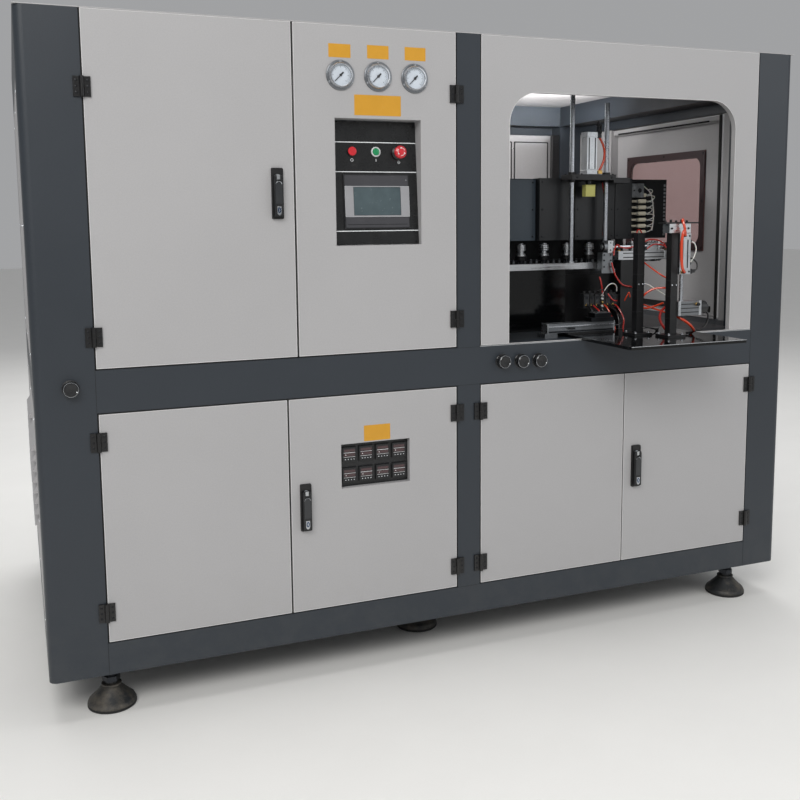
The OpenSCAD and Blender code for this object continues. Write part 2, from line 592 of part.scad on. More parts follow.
// ---------- clamp, blow head and stretch rods ----------
module clamp_frame() color("#4b525b") {
  difference() {
    union() {
      bx(clx - 222, clx + 222, 110, 1090, zm1, zm1 + 28);
      bx(clx - 210, clx + 210, 120, 150, zm1 + 27, 1500);
      bx(clx - 210, clx + 210, 1050, 1080, zm1 + 27, 1500);
    }
    for (x = [-170, 170], z = [1120, 1450]) cy(clx + x, 90, 1110, z, tie_r + run_c);
  }
  // four columns and the head plate over the moulds
  difference() {
    union() {
      for (x = [-207, 207], y = [164, 1036]) cz(clx + x, y, zm1 + 20, 1621, 14);
      bx(clx - 230, clx + 230, 130, 1070, 1620, 1640);
    }
    for (x = [-150, 150]) cz(clx + x, cly, 1600, 1650, 8.5);
    bx(clx - 110, clx + 110, 200, 1000, 1600, 1650);
  }
}
// platen with its mould half; s = 1 for the front one
module platen(s) translate([clx, fy + cly, 0]) mirror([0, s > 0 ? 0 : 1, 0]) difference() {
  union() {
    translate([-200, -clamp_s - 140, 1085]) cube([400, 40, 400]);
    translate([-125, -clamp_s - 100.5, 1135]) cube([250, 100.5, 300]);
    translate([0, -clamp_s - 330, 1285]) rotate([-90, 0, 0]) cylinder(h = 191, r = 18);
  }
  for (x = [-170, 170], z = [1120, 1450]) translate([x, -clamp_s - 150, z]) rotate([-90, 0, 0]) cylinder(h = 60, r = tie_r + run_c);
  for (x = [-60, 60]) translate([x, -clamp_s, 1180]) rotate_extrude() polygon(bottle);
}
module front_platen() color("#a9adb1") platen(1);
module rear_platen() color("#a9adb1") platen(-1);

module blow_head() color("#b9bcbf") difference() {
  union() {
    bx(clx - 180, clx + 180, cly - 45, cly + 45, 1474, 1512);
    bx(clx - 120, clx + 120, cly - 45, cly + 45, 1452, 1475);
    bx(clx - 20, clx + 20, cly + 40, cly + 92, 1474, 1512);
    bx(clx - 20, clx + 20, cly + 52, cly + 92, 1511, 1880);
    for (x = [-60, 60]) cz(clx + x, cly, 1442, 1453, 22);
    for (x = [-150, 150]) cz(clx + x, cly, 1511, 1695, 8);
  }
  for (x = [-60, 60]) cz(clx + x, cly, 1430, 1520, 6 + run_c);
}
module stretch_rods() color("#d5d8da") {
  for (x = [-60, 60]) cz(clx + x, cly, 1460, 1841, 6);
  bx(clx - 90, clx + 90, cly - 25, cly + 50, 1840, 1860);
}

// ---------- moving ends of the air cylinders ----------
module slide_carriage() color("#2c2e32") {
  bx(545, 640, 96, 144, 1089.5, 1104);
  for (y = [108, 132]) bx(547, 638, y - 2.5, y + 2.5, 1085, 1090);
  bx(560, 630, 98, 142, 1104, 1118);
}
module transfer_rod() color("#d5d8da") {
  cx(698, 925, 251, 1350, 6);
  cx(686, 698.5, 251, 1350, 19);
  bx(880, 925, 240, 266, 1333.6, 1362);
}
module lift_rod() color("#d5d8da") {
  cz(769.5, -110, 1170, 1300, 6);
  bx(746, 841, -130, -90, 1122, 1171);
  cx(840, 870, -110, 1147, 20);
}
module press_pad() {
  color("#d5d8da") cz(655, 300, 1578, 1745, 7);
  color("#cfd06a") bx(635, 676, 288, 312, 1537, 1579);
}

// ---------- units in the lower cabinet ----------
module cabinet_units() color("#50565d") {
  // gear motor under the drive sprocket
  difference() {
    union() { bx(970, 1110, 480, 620, 840, 1000); cz(spr_x1, spr_y, 998, 1027.5, 45); }
    cz(spr_x1, spr_y, 950, 1030, 15 + run_c);
  }
  cx(700, 969.5, spr_y, 915, 65);
  // bearing of the idler sprocket
  difference() { cz(spr_x0, spr_y, 960, 1027.5, 40); cz(spr_x0, spr_y, 980, 1030, 15 + run_c); }
  // air receiver on two saddles
  difference() {
    union() {
      cx(150, 950, 950, 440, 150);
      for (x = [260, 800]) bx(x, x + 40, 850, 1050, zb1 + 5, 350);
    }
    cx(155, 945, 950, 440, 145); cx(100, 160, 950, 440, 15);
  }
  // mounting plate with switchgear
  union() {
    bx(-1080, -200, 640, 643, 260, 880);
    for (i = [0:3]) bx(-1040 + i * 130, -940 + i * 130, 560, 641, 700, 840);
    bx(-480, -260, 570, 641, 660, 850);
    for (i = [0:8]) bx(-1040 + i * 62, -988 + i * 62, 575, 641, 500, 590);
    bx(-1040, -240, 600, 641, 310, 400);
  }
}

frame_columns();
frame_rails();
deck_plates();
levelling_feet();
fixed_panels();
window_panel();
upper_left_door();
control_door();
lower_door_1();
lower_door_2();
lower_door_3();
lower_door_4();
side_door();
side_window();
hinge_halves();
handle_base_1();
handle_base_2();
handle_base_3();
handle_spindle_1();
handle_spindle_2();
handle_spindle_3();
handle_lever_1();
handle_lever_2();
handle_lever_3();
control_face();
touch_panel();
stop_button();
start_button();
emergency_stem();
emergency_head();
gauge_cases();
gauge_needle_1();
gauge_needle_2();
gauge_needle_3();
temperature_controllers();
regulator_knob_1();
regulator_knob_2();
regulator_knob_3();
regulator_knob_4();
pneumatic_cylinders();
guide_rods();
table_plate();
black_brackets();
aluminium_rails();
oven_boxes();
oven_lamps();
conveyor_chain();
preform_spindles();
drive_sprocket();
idler_sprocket();
clamp_frame();
front_platen();
rear_platen();
blow_head();
stretch_rods();
slide_carriage();
transfer_rod();
lift_rod();
press_pad();
cabinet_units();
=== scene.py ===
import math, random
import bpy
import numpy as np
from mathutils import Vector, Matrix


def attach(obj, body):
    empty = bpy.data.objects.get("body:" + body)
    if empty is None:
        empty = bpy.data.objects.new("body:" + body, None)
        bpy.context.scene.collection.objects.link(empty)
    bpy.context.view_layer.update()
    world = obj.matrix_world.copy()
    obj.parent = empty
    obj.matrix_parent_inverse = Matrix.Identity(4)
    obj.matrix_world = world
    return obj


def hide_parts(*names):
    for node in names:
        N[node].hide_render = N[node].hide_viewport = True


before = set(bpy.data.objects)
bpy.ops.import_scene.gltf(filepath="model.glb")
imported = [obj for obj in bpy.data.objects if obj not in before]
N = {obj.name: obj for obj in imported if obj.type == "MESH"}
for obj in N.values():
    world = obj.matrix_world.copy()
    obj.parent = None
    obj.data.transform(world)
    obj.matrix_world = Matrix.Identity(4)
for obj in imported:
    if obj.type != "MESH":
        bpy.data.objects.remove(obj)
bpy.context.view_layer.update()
random.seed(11)
FY = -604.0                      # front plane of the cabinet, mm
SLOPE = math.atan(30 / 386)      # control face


# ------------------------------------------------------------------ colours and materials
def lin(h):
    h = h.lstrip("#")
    c = [int(h[i:i + 2], 16) / 255 for i in (0, 2, 4)]
    return tuple(x / 12.92 if x <= 0.04045 else ((x + 0.055) / 1.055) ** 2.4 for x in c) + (1.0,)


class Mat:
    """Small wrapper round a node tree with a Principled shader."""

    def __init__(s, name):
        s.m = bpy.data.materials.new(name)
        s.m.use_nodes = True
        s.t = s.m.node_tree
        s.t.nodes.clear()
        s.out = s.t.nodes.new("ShaderNodeOutputMaterial")
        s.p = s.t.nodes.new("ShaderNodeBsdfPrincipled")
        s.t.links.new(s.p.outputs[0], s.out.inputs[0])
        s.co = s.t.nodes.new("ShaderNodeTexCoord").outputs["Object"]

    def node(s, kind, **k):
        n = s.t.nodes.new(kind)
        for a, v in k.items():
            setattr(n, a, v)
        return n

    def put(s, sock, v):
        if isinstance(v, bpy.types.NodeSocket):
            s.t.links.new(v, sock)
        else:
            sock.default_value = v

    def noise(s, scale, detail=2.0, rough=0.5, co=None, dist=0.0):
        n = s.node("ShaderNodeTexNoise")
        s.put(n.inputs["Vector"], co or s.co)
        n.inputs["Scale"].default_value = scale
        n.inputs["Detail"].default_value = detail
        n.inputs["Roughness"].default_value = rough
        n.inputs["Distortion"].default_value = dist
        return n.outputs["Fac"]

    def stretched(s, sx, sy, sz):
        n = s.node("ShaderNodeMapping")
        s.put(n.inputs["Vector"], s.co)
        n.inputs["Scale"].default_value = (sx, sy, sz)
        return n.outputs[0]

    def math(s, op, a, b=0.0, clamp=False):
        n = s.node("ShaderNodeMath", operation=op, use_clamp=clamp)
        s.put(n.inputs[0], a)
        s.put(n.inputs[1], b)
        return n.outputs[0]

    def ramp(s, v, lo, hi, a=0.0, b=1.0):
        n = s.node("ShaderNodeMapRange", clamp=True)
        s.put(n.inputs["Value"], v)
        n.inputs["From Min"].default_value = lo
        n.inputs["From Max"].default_value = hi
        n.inputs["To Min"].default_value = a
        n.inputs["To Max"].default_value = b
        return n.outputs[0]

    def mix(s, f, a, b, mode="MIX"):
        n = s.node("ShaderNodeMix", data_type="RGBA", blend_type=mode)
        s.put(n.inputs[0], f)
        s.put(n.inputs[6], a)
        s.put(n.inputs[7], b)
        return n.outputs[2]

    def value(s, col, v):
        n = s.node("ShaderNodeHueSaturation")
        s.put(n.inputs["Color"], col)
        s.put(n.inputs["Value"], v)
        return n.outputs[0]

    def sep(s):
        n = s.node("ShaderNodeSeparateXYZ")
        s.put(n.inputs[0], s.co)
        return n.outputs

    def bump(s, h, strength, dist, bevel=0.0):
        n = s.node("ShaderNodeBump")
        n.inputs["Strength"].default_value = strength
        n.inputs["Distance"].default_value = dist
        s.put(n.inputs["Height"], h)
        if bevel:
            b = s.node("ShaderNodeBevel", samples=4)
            b.inputs["Radius"].default_value = bevel
            s.put(n.inputs["Normal"], b.outputs[0])
        s.put(s.p.inputs["Normal"], n.outputs[0])

    def set(s, **k):
        names = {"col": "Base Color", "rough": "Roughness", "metal": "Metallic", "coat": "Coat Weight",
                 "coat_rough": "Coat Roughness", "spec": "Specular IOR Level", "trans": "Transmission Weight",
                 "ior": "IOR", "alpha": "Alpha", "sss": "Subsurface Weight", "aniso": "Anisotropic"}
        for a, v in k.items():
            s.put(s.p.inputs[names[a]], v)
        return s


def paint(name, col, rough=0.5, speck=0.10, cloud=0.04, bump=0.25, dirt=0.25, bevel=0.0012, grain=300.0, dust="#8a8378", spec=0.5):
    """Fine-textured powder coat: grain, slow tone change, dust low down and faint handling marks."""
    m = Mat(name)
    g = m.noise(grain, 3.0, 0.65)
    c = m.noise(1.7, 4.0, 0.6)
    f = m.noise(1300.0, 1.0)
    marks = m.noise(5.0, 6.0, 0.75, m.stretched(1, 1, 0.35))
    v = m.math("ADD", m.ramp(g, 0.25, 0.75, 1 - speck, 1 + speck), m.ramp(c, 0.3, 0.7, -cloud, cloud))
    base = m.value(lin(col), v)
    z = m.sep()[2]
    low = m.math("MULTIPLY", m.ramp(z, 0.10, 0.42, 1.0, 0.0), m.ramp(m.noise(16.0, 5.0, 0.7), 0.42, 0.72, 0.0, dirt), True)
    hand = m.ramp(marks, 0.60, 0.80, 0.0, dirt * 0.35)
    base = m.mix(m.math("MAXIMUM", low, hand), base, lin(dust))
    m.set(col=base, rough=m.math("ADD", m.ramp(g, 0.2, 0.8, rough - 0.07, rough + 0.07), m.ramp(c, 0.3, 0.7, -0.05, 0.05)), spec=spec)
    m.bump(m.math("ADD", m.math("MULTIPLY", g, 0.7), m.math("MULTIPLY", f, 0.3)), bump, 0.0006, bevel)
    return m.m


def metal(name, col, rough=0.3, axis=None, lines=0.35, bump=0.10, smudge=0.12, bevel=0.0, tint="#5d5a54", grain=500.0):
    """Bare metal with drawn or turned lines along axis, and grease smudges."""
    m = Mat(name)
    s = {"x": (0.02, 1, 1), "y": (1, 0.02, 1), "z": (1, 1, 0.02), None: (1, 1, 1)}[axis]
    l = m.noise(grain, 2.0, 0.6, m.stretched(*s))
    k = m.noise(14.0, 5.0, 0.65)
    col2 = m.mix(m.ramp(k, 0.52, 0.75, 0.0, smudge), m.value(lin(col), m.ramp(l, 0.3, 0.7, 1 - lines * 0.3, 1 + lines * 0.3)), lin(tint))
    m.set(col=col2, metal=1.0, rough=m.math("ADD", m.ramp(l, 0.3, 0.7, rough - 0.08, rough + 0.08), m.ramp(k, 0.4, 0.8, -0.02, 0.12)))
    m.bump(l, bump, 0.0003, bevel)
    return m.m


def plastic(name, col, rough=0.4, bump=0.08, speck=0.05, coat=0.0, grain=900.0, bevel=0.0, scuff=0.12, sss=0.0, trans=0.0):
    m = Mat(name)
    g = m.noise(grain, 2.0, 0.6)
    k = m.noise(22.0, 5.0, 0.7)
    base = m.value(lin(col), m.math("ADD", m.ramp(g, 0.3, 0.7, 1 - speck, 1 + speck), m.ramp(k, 0.35, 0.75, -0.03, 0.05)))
    base = m.mix(m.ramp(k, 0.60, 0.80, 0.0, scuff), base, lin("#8d8a84"))
    m.set(col=base, rough=m.math("ADD", m.ramp(k, 0.3, 0.7, rough - 0.05, rough + 0.08), m.ramp(g, 0.3, 0.7, -0.03, 0.03)), coat=coat, coat_rough=0.08, trans=trans)
    if sss:
        m.p.inputs["Subsurface Weight"].default_value = sss
        m.p.inputs["Subsurface Radius"].default_value = (0.004, 0.002, 0.001)
    m.bump(g, bump, 0.0003, bevel)
    return m.m


def clear(name, tint, gloss=0.10, rough=0.03, dust=0.05):
    """Thin clear sheet: tinted see-through with a constant share of gloss, and a little dust."""
    m = Mat(name)
    m.t.nodes.remove(m.p)
    tr = m.node("ShaderNodeBsdfTransparent")
    gl = m.node("ShaderNodeBsdfGlossy")
    df = m.node("ShaderNodeBsdfDiffuse")
    k = m.noise(20.0, 5.0, 0.7)
    m.put(tr.inputs["Color"], m.value(lin(tint), m.ramp(k, 0.3, 0.7, 0.96, 1.0)))
    gl.inputs["Roughness"].default_value = rough
    df.inputs["Color"].default_value = (0.5, 0.5, 0.5, 1)
    a = m.node("ShaderNodeMixShader")
    a.inputs[0].default_value = gloss
    m.t.links.new(tr.outputs[0], a.inputs[1])
    m.t.links.new(gl.outputs[0], a.inputs[2])
    b = m.node("ShaderNodeMixShader")
    m.put(b.inputs[0], m.ramp(k, 0.5, 0.8, 0.0, dust))
    m.t.links.new(a.outputs[0], b.inputs[1])
    m.t.links.new(df.outputs[0], b.inputs[2])
    m.t.links.new(b.outputs[0], m.out.inputs[0])
    return m.m


frame_m = paint("frame_blue_grey", "#282e35", rough=0.44, speck=0.16, bump=0.35, dirt=0.10, grain=260.0, dust="#6a6862")
panel_m = paint("panel_light_grey", "#a7a6a7", rough=0.50, speck=0.06, cloud=0.02, bump=0.30, dirt=0.12, grain=260.0, dust="#8b847a")
# lighter copy of the panel paint, laid as thin rims along door and window edges: painted highlight of the edges
highlight_edge_m = paint("panel_edge_painted_highlight", "#d8d7d7", rough=0.36, speck=0.05, cloud=0.02, bump=0.2, dirt=0.08, grain=300.0, dust="#a39c90")
inner_m = paint("frame_inside", "#2b3138", rough=0.45, speck=0.14, bump=0.3, dirt=0.15, grain=260.0)
# near-black copy of the frame paint; on the right top rail's undersides it is painted shade
inner_dark_m = paint("frame_inside_dark", "#14171a", rough=0.5, speck=0.14, bump=0.3, dirt=0.10, grain=260.0)
deck_m = paint("deck_grey", "#23282d", rough=0.35, speck=0.12, bump=0.2, dirt=0.5, grain=180.0)
black_m = paint("black_satin", "#0e0e10", rough=0.42, speck=0.18, bump=0.3, dirt=0.25, grain=420.0, dust="#55524d", bevel=0.0008)
hinge_m = paint("hinge_black", "#08080a", rough=0.32, speck=0.2, bump=0.35, dirt=0.1, grain=600.0, bevel=0.0008)
gloss_m = paint("black_gloss", "#08090a", rough=0.10, speck=0.12, bump=0.08, dirt=0.55, grain=90.0, dust="#6b675f", bevel=0.0008)
oven_m = paint("oven_black", "#0f1114", rough=0.40, speck=0.14, bump=0.2, dirt=0.3, grain=240.0, bevel=0.001)
oven_blue_m = paint("oven_blue_grey", "#333d46", rough=0.40, speck=0.14, bump=0.25, dirt=0.3, grain=240.0, bevel=0.001)
clamp_m = paint("machine_grey", "#59636c", rough=0.42, speck=0.10, bump=0.3, dirt=0.4, grain=220.0)
unit_m = paint("unit_blue", "#3f5a70", rough=0.45, speck=0.10, bump=0.4, dirt=0.45, grain=160.0)
tank_m = paint("tank_grey", "#8d9296", rough=0.38, speck=0.07, bump=0.3, dirt=0.4, grain=160.0)
iron_m = paint("foot_iron", "#1e2022", rough=0.55, speck=0.25, bump=0.9, dirt=0.7, grain=120.0, dust="#6e665a")
alu_x = metal("aluminium_x", "#c6c8ca", 0.30, "x", 0.5, bevel=0.0006)
alu_y = metal("aluminium_y", "#c6c8ca", 0.30, "y", 0.5, bevel=0.0006)
alu_z = metal("aluminium_z", "#c2c5c8", 0.32, "z", 0.5, bevel=0.0006)
alu_mill = metal("aluminium_milled", "#bfc2c5", 0.34, None, 0.6, bump=0.2, bevel=0.0008, grain=220.0)
head_m = metal("bright_head", "#eceef0", 0.30, None, 0.3, bump=0.05, smudge=0.10)
chrome_m = metal("chrome", "#dfe2e6", 0.10, None, 0.15, bump=0.03, smudge=0.10)
rod_z = metal("ground_rod_z", "#bcc0c6", 0.27, None, 0.25, bump=0.03, smudge=0.10)
gauge_m = metal("gauge_flange", "#85888c", 0.34, None, 0.35, smudge=0.2)
gauge_rim_m = metal("gauge_rim", "#b9bcc0", 0.24, None, 0.3, smudge=0.15)
block_m = metal("grey_block", "#84878a", 0.42, None, 0.5, bump=0.15, smudge=0.3, bevel=0.0006)
steel_m = metal("machined_steel", "#9ea2a6", 0.30, None, 0.5, bump=0.15, smudge=0.35, bevel=0.0006)
zinc_m = metal("zinc_plate", "#b9bcbf", 0.32, None, 0.3, bump=0.1, smudge=0.15, tint="#a89a6a")
dark_steel_m = metal("oiled_steel", "#3a3c40", 0.36, None, 0.5, bump=0.2, smudge=0.4, tint="#2a2620")
screw_m = metal("screw_steel", "#c9ccd0", 0.22, None, 0.3, bump=0.05, smudge=0.2)
black_screw_m = metal("black_screw", "#2c2d30", 0.35, None, 0.3, bump=0.1, smudge=0.2)
brass_m = metal("brass", "#b8975a", 0.28, None, 0.4, bump=0.1, smudge=0.3)
galv_m = metal("galvanised", "#a9adb0", 0.45, None, 1.2, bump=0.1, smudge=0.2, grain=60.0)
black_pl = plastic("black_plastic", "#17181a", 0.36, 0.2, 0.1)
knob_pl = plastic("knob_plastic", "#0f1011", 0.16, 0.06, 0.08, coat=0.6)
grey_pl = plastic("grey_plastic", "#3a3a3e", 0.42, 0.25, 0.06, scuff=0.08)
light_pl = plastic("light_plastic", "#c9cacb", 0.40, 0.15, 0.04)
white_pl = plastic("white_plastic", "#e4e3df", 0.38, 0.1, 0.03)
red_pl = plastic("red_plastic", "#c5202b", 0.30, 0.1, 0.05, coat=0.4, sss=0.15, scuff=0.05)
green_pl = plastic("green_plastic", "#0f8752", 0.28, 0.1, 0.05, coat=0.4, sss=0.15, scuff=0.05)
pad_pl = plastic("pad_plastic", "#aeab62", 0.50, 0.35, 0.06, scuff=0.10)
band_pl = plastic("silver_band", "#949497", 0.36, 0.2, 0.05, scuff=0.03)
orange_h = plastic("hose_orange", "#cc4222", 0.24, 0.05, 0.05, coat=0.5, sss=0.2, scuff=0.06)
red_h = plastic("hose_red", "#b02a24", 0.26, 0.05, 0.05, coat=0.5, sss=0.2, scuff=0.06)
black_h = plastic("hose_black", "#151517", 0.30, 0.08, 0.08, coat=0.3)
white_h = plastic("hose_white", "#d9d8d2", 0.32, 0.08, 0.05, coat=0.3, sss=0.2)
blue_h = plastic("hose_blue", "#2c5fa8", 0.28, 0.06, 0.05, coat=0.4)
rubber_m = plastic("seal_rubber", "#141414", 0.75, 0.5, 0.12, grain=500.0)
label_y = plastic("label_yellow", "#c99224", 0.42, 0.05, 0.03, scuff=0.10)
mark_w = plastic("mark_white", "#e3e6e8", 0.5, 0.05, 0.03, scuff=0.04)
mark_k = plastic("mark_black", "#16181b", 0.5, 0.05, 0.03, scuff=0.04)
dial_m = plastic("dial_white", "#e9ecf2", 0.45, 0.03, 0.015, scuff=0.03)
ceramic_m = plastic("ceramic", "#e2dbc8", 0.55, 0.3, 0.05, scuff=0.15)
face_m = plastic("control_face", "#0a0b0c", 0.28, 0.06, 0.06, coat=0.35, scuff=0.10, bevel=0.0006)
glass_m = clear("gauge_glass", "#f6f9fb", 0.10, 0.02, 0.04)
acrylic_m = clear("tinted_acrylic", "#ecd8d6", 0.06, 0.04, 0.05)
brown_pl = plastic("red_brown_border", "#321a1b", 0.35, 0.1, 0.08, scuff=0.06)
dark_pl = plastic("dark_module", "#25272a", 0.34, 0.15, 0.1, coat=0.2)


def screen_material():
    m = Mat("screen")
    z = m.noise(9.0, 3.0, 0.6)
    d = m.noise(60.0, 4.0, 0.7)
    base = m.mix(m.ramp(z, 0.3, 0.7, 0.0, 1.0), lin("#38464b"), lin("#4d5c60"))
    base = m.mix(m.ramp(d, 0.62, 0.78, 0.0, 0.35), base, lin("#8a9694"))
    m.set(col=base, rough=m.ramp(d, 0.3, 0.8, 0.12, 0.34), coat=0.8, coat_rough=0.05)
    m.bump(d, 0.05, 0.0002)
    return m.m


def display_material():
    m = Mat("dark_red_display")
    g = m.noise(700.0, 2.0)
    base = m.value(lin("#341016"), m.ramp(g, 0.3, 0.7, 0.8, 1.25))
    m.set(col=base, rough=m.ramp(m.noise(40.0, 4.0), 0.3, 0.7, 0.10, 0.22), coat=0.7, coat_rough=0.04)
    m.bump(g, 0.05, 0.0002)
    return m.m


def quartz_material():
    m = Mat("quartz_tube")
    l = m.noise(500.0, 2.0, 0.6, m.stretched(1, 0.1, 0.1))
    base = m.value(lin("#d6cfbd"), m.ramp(l, 0.3, 0.7, 0.82, 1.08))
    m.set(col=base, rough=m.ramp(l, 0.3, 0.7, 0.10, 0.3), coat=0.8, coat_rough=0.04)
    m.bump(l, 0.1, 0.0003)
    return m.m


screen_m, display_m, quartz_m = screen_material(), display_material(), quartz_material()


# ------------------------------------------------------------------ geometry helpers
def frame_at(x, y, z, ex, ey, ez):
    """Local mm axes at a point given as (x, depth behind the front plane, z)."""
    m = Matrix.Identity(4)
    for i, e in enumerate((ex, ey, ez)):
        for r in range(3):
            m[r][i] = e[r] * 0.001
    m[0][3], m[1][3], m[2][3] = x * 0.001, (FY + y) * 0.001, z * 0.001
    return m


def FR(x, z, y=0.0):
    return frame_at(x, y, z, (1, 0, 0), (0, 0, 1), (0, -1, 0))


def BK(x, z, y=1500.0):
    return frame_at(x, y, z, (-1, 0, 0), (0, 0, 1), (0, 1, 0))


def UP(x, y, z):
    return frame_at(x, y, z, (1, 0, 0), (0, 1, 0), (0, 0, 1))


def DN(x, y, z):
    return frame_at(x, y, z, (1, 0, 0), (0, -1, 0), (0, 0, -1))


def RT(y, z, x=1327.0):
    return frame_at(x, y, z, (0, 1, 0), (0, 0, 1), (1, 0, 0))


def LF(y, z, x=-1327.0):
    return frame_at(x, y, z, (0, -1, 0), (0, 0, 1), (-1, 0, 0))


def FACE(x, u, w=0.0):
    s, c = math.sin(SLOPE), math.cos(SLOPE)
    return frame_at(x, 20 + u * s - w * c, 1382 + u * c + w * s, (1, 0, 0), (0, s, c), (0, -c, s))


WORLD = UP(0, 0, 0)


class B:
    """Collects primitives into one mesh object that rides on one body."""

    def __init__(s, name, body, *mats):
        s.name, s.body, s.mats = name, body, list(mats)
        s.v, s.f, s.mi = [], [], []

    def add(s, M, verts, faces, mi=0):
        k = len(s.v)
        flip = M.to_3x3().determinant() < 0
        s.v.extend(M @ Vector(p) for p in verts)
        for f in faces:
            g = [k + i for i in f]
            s.f.append(g[::-1] if flip else g)
            s.mi.append(mi)
        return s

    def box(s, M, x0, x1, y0, y1, z0, z1, mi=0, r=0.5):
        r = min(r, (x1 - x0) * 0.45, (y1 - y0) * 0.45, (z1 - z0) * 0.45)
        V, idx = [], {}
        for i, x in enumerate((x0, x1)):
            for j, y in enumerate((y0, y1)):
                for k, z in enumerate((z0, z1)):
                    sx, sy, sz = (1, -1)[i], (1, -1)[j], (1, -1)[k]
                    for a, p in enumerate(((x, y + sy * r, z + sz * r), (x + sx * r, y, z + sz * r), (x + sx * r, y + sy * r, z))):
                        idx[i, j, k, a] = len(V)
                        V.append(p)
        F = []
        q = lambda *c: F.append([idx[t] for t in c])
        q((0, 0, 0, 0), (0, 0, 1, 0), (0, 1, 1, 0), (0, 1, 0, 0)); q((1, 0, 0, 0), (1, 1, 0, 0), (1, 1, 1, 0), (1, 0, 1, 0))
        q((0, 0, 0, 1), (1, 0, 0, 1), (1, 0, 1, 1), (0, 0, 1, 1)); q((0, 1, 0, 1), (0, 1, 1, 1), (1, 1, 1, 1), (1, 1, 0, 1))
        q((0, 0, 0, 2), (0, 1, 0, 2), (1, 1, 0, 2), (1, 0, 0, 2)); q((0, 0, 1, 2), (1, 0, 1, 2), (1, 1, 1, 2), (0, 1, 1, 2))
        if r > 0:
            for i in (0, 1):
                for j in (0, 1):
                    e = [(i, j, 0, 0), (i, j, 0, 1), (i, j, 1, 1), (i, j, 1, 0)]
                    q(*(e if i == j else e[::-1]))
                for k in (0, 1):
                    e = [(i, 0, k, 0), (i, 1, k, 0), (i, 1, k, 2), (i, 0, k, 2)]
                    q(*(e if i == k else e[::-1]))
            for j in (0, 1):
                for k in (0, 1):
                    e = [(0, j, k, 1), (0, j, k, 2), (1, j, k, 2), (1, j, k, 1)]
                    q(*(e if j == k else e[::-1]))
            for i in (0, 1):
                for j in (0, 1):
                    for k in (0, 1):
                        e = [(i, j, k, 0), (i, j, k, 2), (i, j, k, 1)]
                        q(*(e if (i + j + k) % 2 == 0 else e[::-1]))
        return s.add(M, V, F, mi)

    def lathe(s, M, prof, seg=24, mi=0, cap=True):
        """prof: (radius, height) pairs from the bottom up, turned round local z."""
        V, F = [], []
        for r, h in prof:
            for i in range(seg):
                a = 2 * math.pi * i / seg
                V.append((r * math.cos(a), r * math.sin(a), h))
        for j in range(len(prof) - 1):
            for i in range(seg):
                n = (i + 1) % seg
                F.append([j * seg + i, j * seg + n, (j + 1) * seg + n, (j + 1) * seg + i])
        if cap:
            if prof[0][0] > 0.01:
                F.append(list(range(seg))[::-1])
            if prof[-1][0] > 0.01:
                F.append([(len(prof) - 1) * seg + i for i in range(seg)])
        return s.add(M, V, F, mi)

    def cyl(s, M, r, h0, h1, seg=20, mi=0, c=0.4):
        c = min(c, r * 0.4, (h1 - h0) * 0.4)
        return s.lathe(M, [(r - c, h0), (r, h0 + c), (r, h1 - c), (r - c, h1)], seg, mi)

    def ring(s, M, r0, r1, h0, h1, seg=32, mi=0):
        return s.lathe(M, [(r0, h0), (r1, h0), (r1, h1), (r0, h1), (r0, h0)], seg, mi, cap=False)

    def torus(s, M, R, r, seg=32, k=8, mi=0, h=0.0):
        return s.lathe(M, [(R + r * math.cos(2 * math.pi * i / k), h + r * math.sin(2 * math.pi * i / k)) for i in range(k + 1)][::-1][::-1], seg, mi, cap=False)

    def prism(s, M, pts, h0, h1, mi=0, c=0.0):
        """Straight body over a convex outline, with an optional chamfer on the top edge."""
        n = len(pts)
        cx, cy = sum(p[0] for p in pts) / n, sum(p[1] for p in pts) / n
        V = [(x, y, h0) for x, y in pts] + [(x, y, h1 - c) for x, y in pts]
        F = [list(range(n))[::-1]]
        F += [[i, (i + 1) % n, n + (i + 1) % n, n + i] for i in range(n)]
        if c > 0:
            size = max(math.hypot(x - cx, y - cy) for x, y in pts)
            k = 1 - c / size
            V += [(cx + (x - cx) * k, cy + (y - cy) * k, h1) for x, y in pts]
            F += [[n + i, n + (i + 1) % n, 2 * n + (i + 1) % n, 2 * n + i] for i in range(n)]
            F.append([2 * n + i for i in range(n)])
        else:
            F.append([n + i for i in range(n)])
        return s.add(M, V, F, mi)

    def frame(s, M, outer, inner, h0, h1, mi=0):
        """Flat body between two outlines with the same number of points."""
        n = len(outer)
        V = [(x, y, h) for h in (h0, h1) for o in (outer, inner) for x, y in o]
        F = []
        for i in range(n):
            j = (i + 1) % n
            F += [[2 * n + i, 2 * n + j, 3 * n + j, 3 * n + i], [j, i, n + i, n + j], [i, j, 2 * n + j, 2 * n + i], [n + j, n + i, 3 * n + i, 3 * n + j]]
        return s.add(M, V, F, mi)

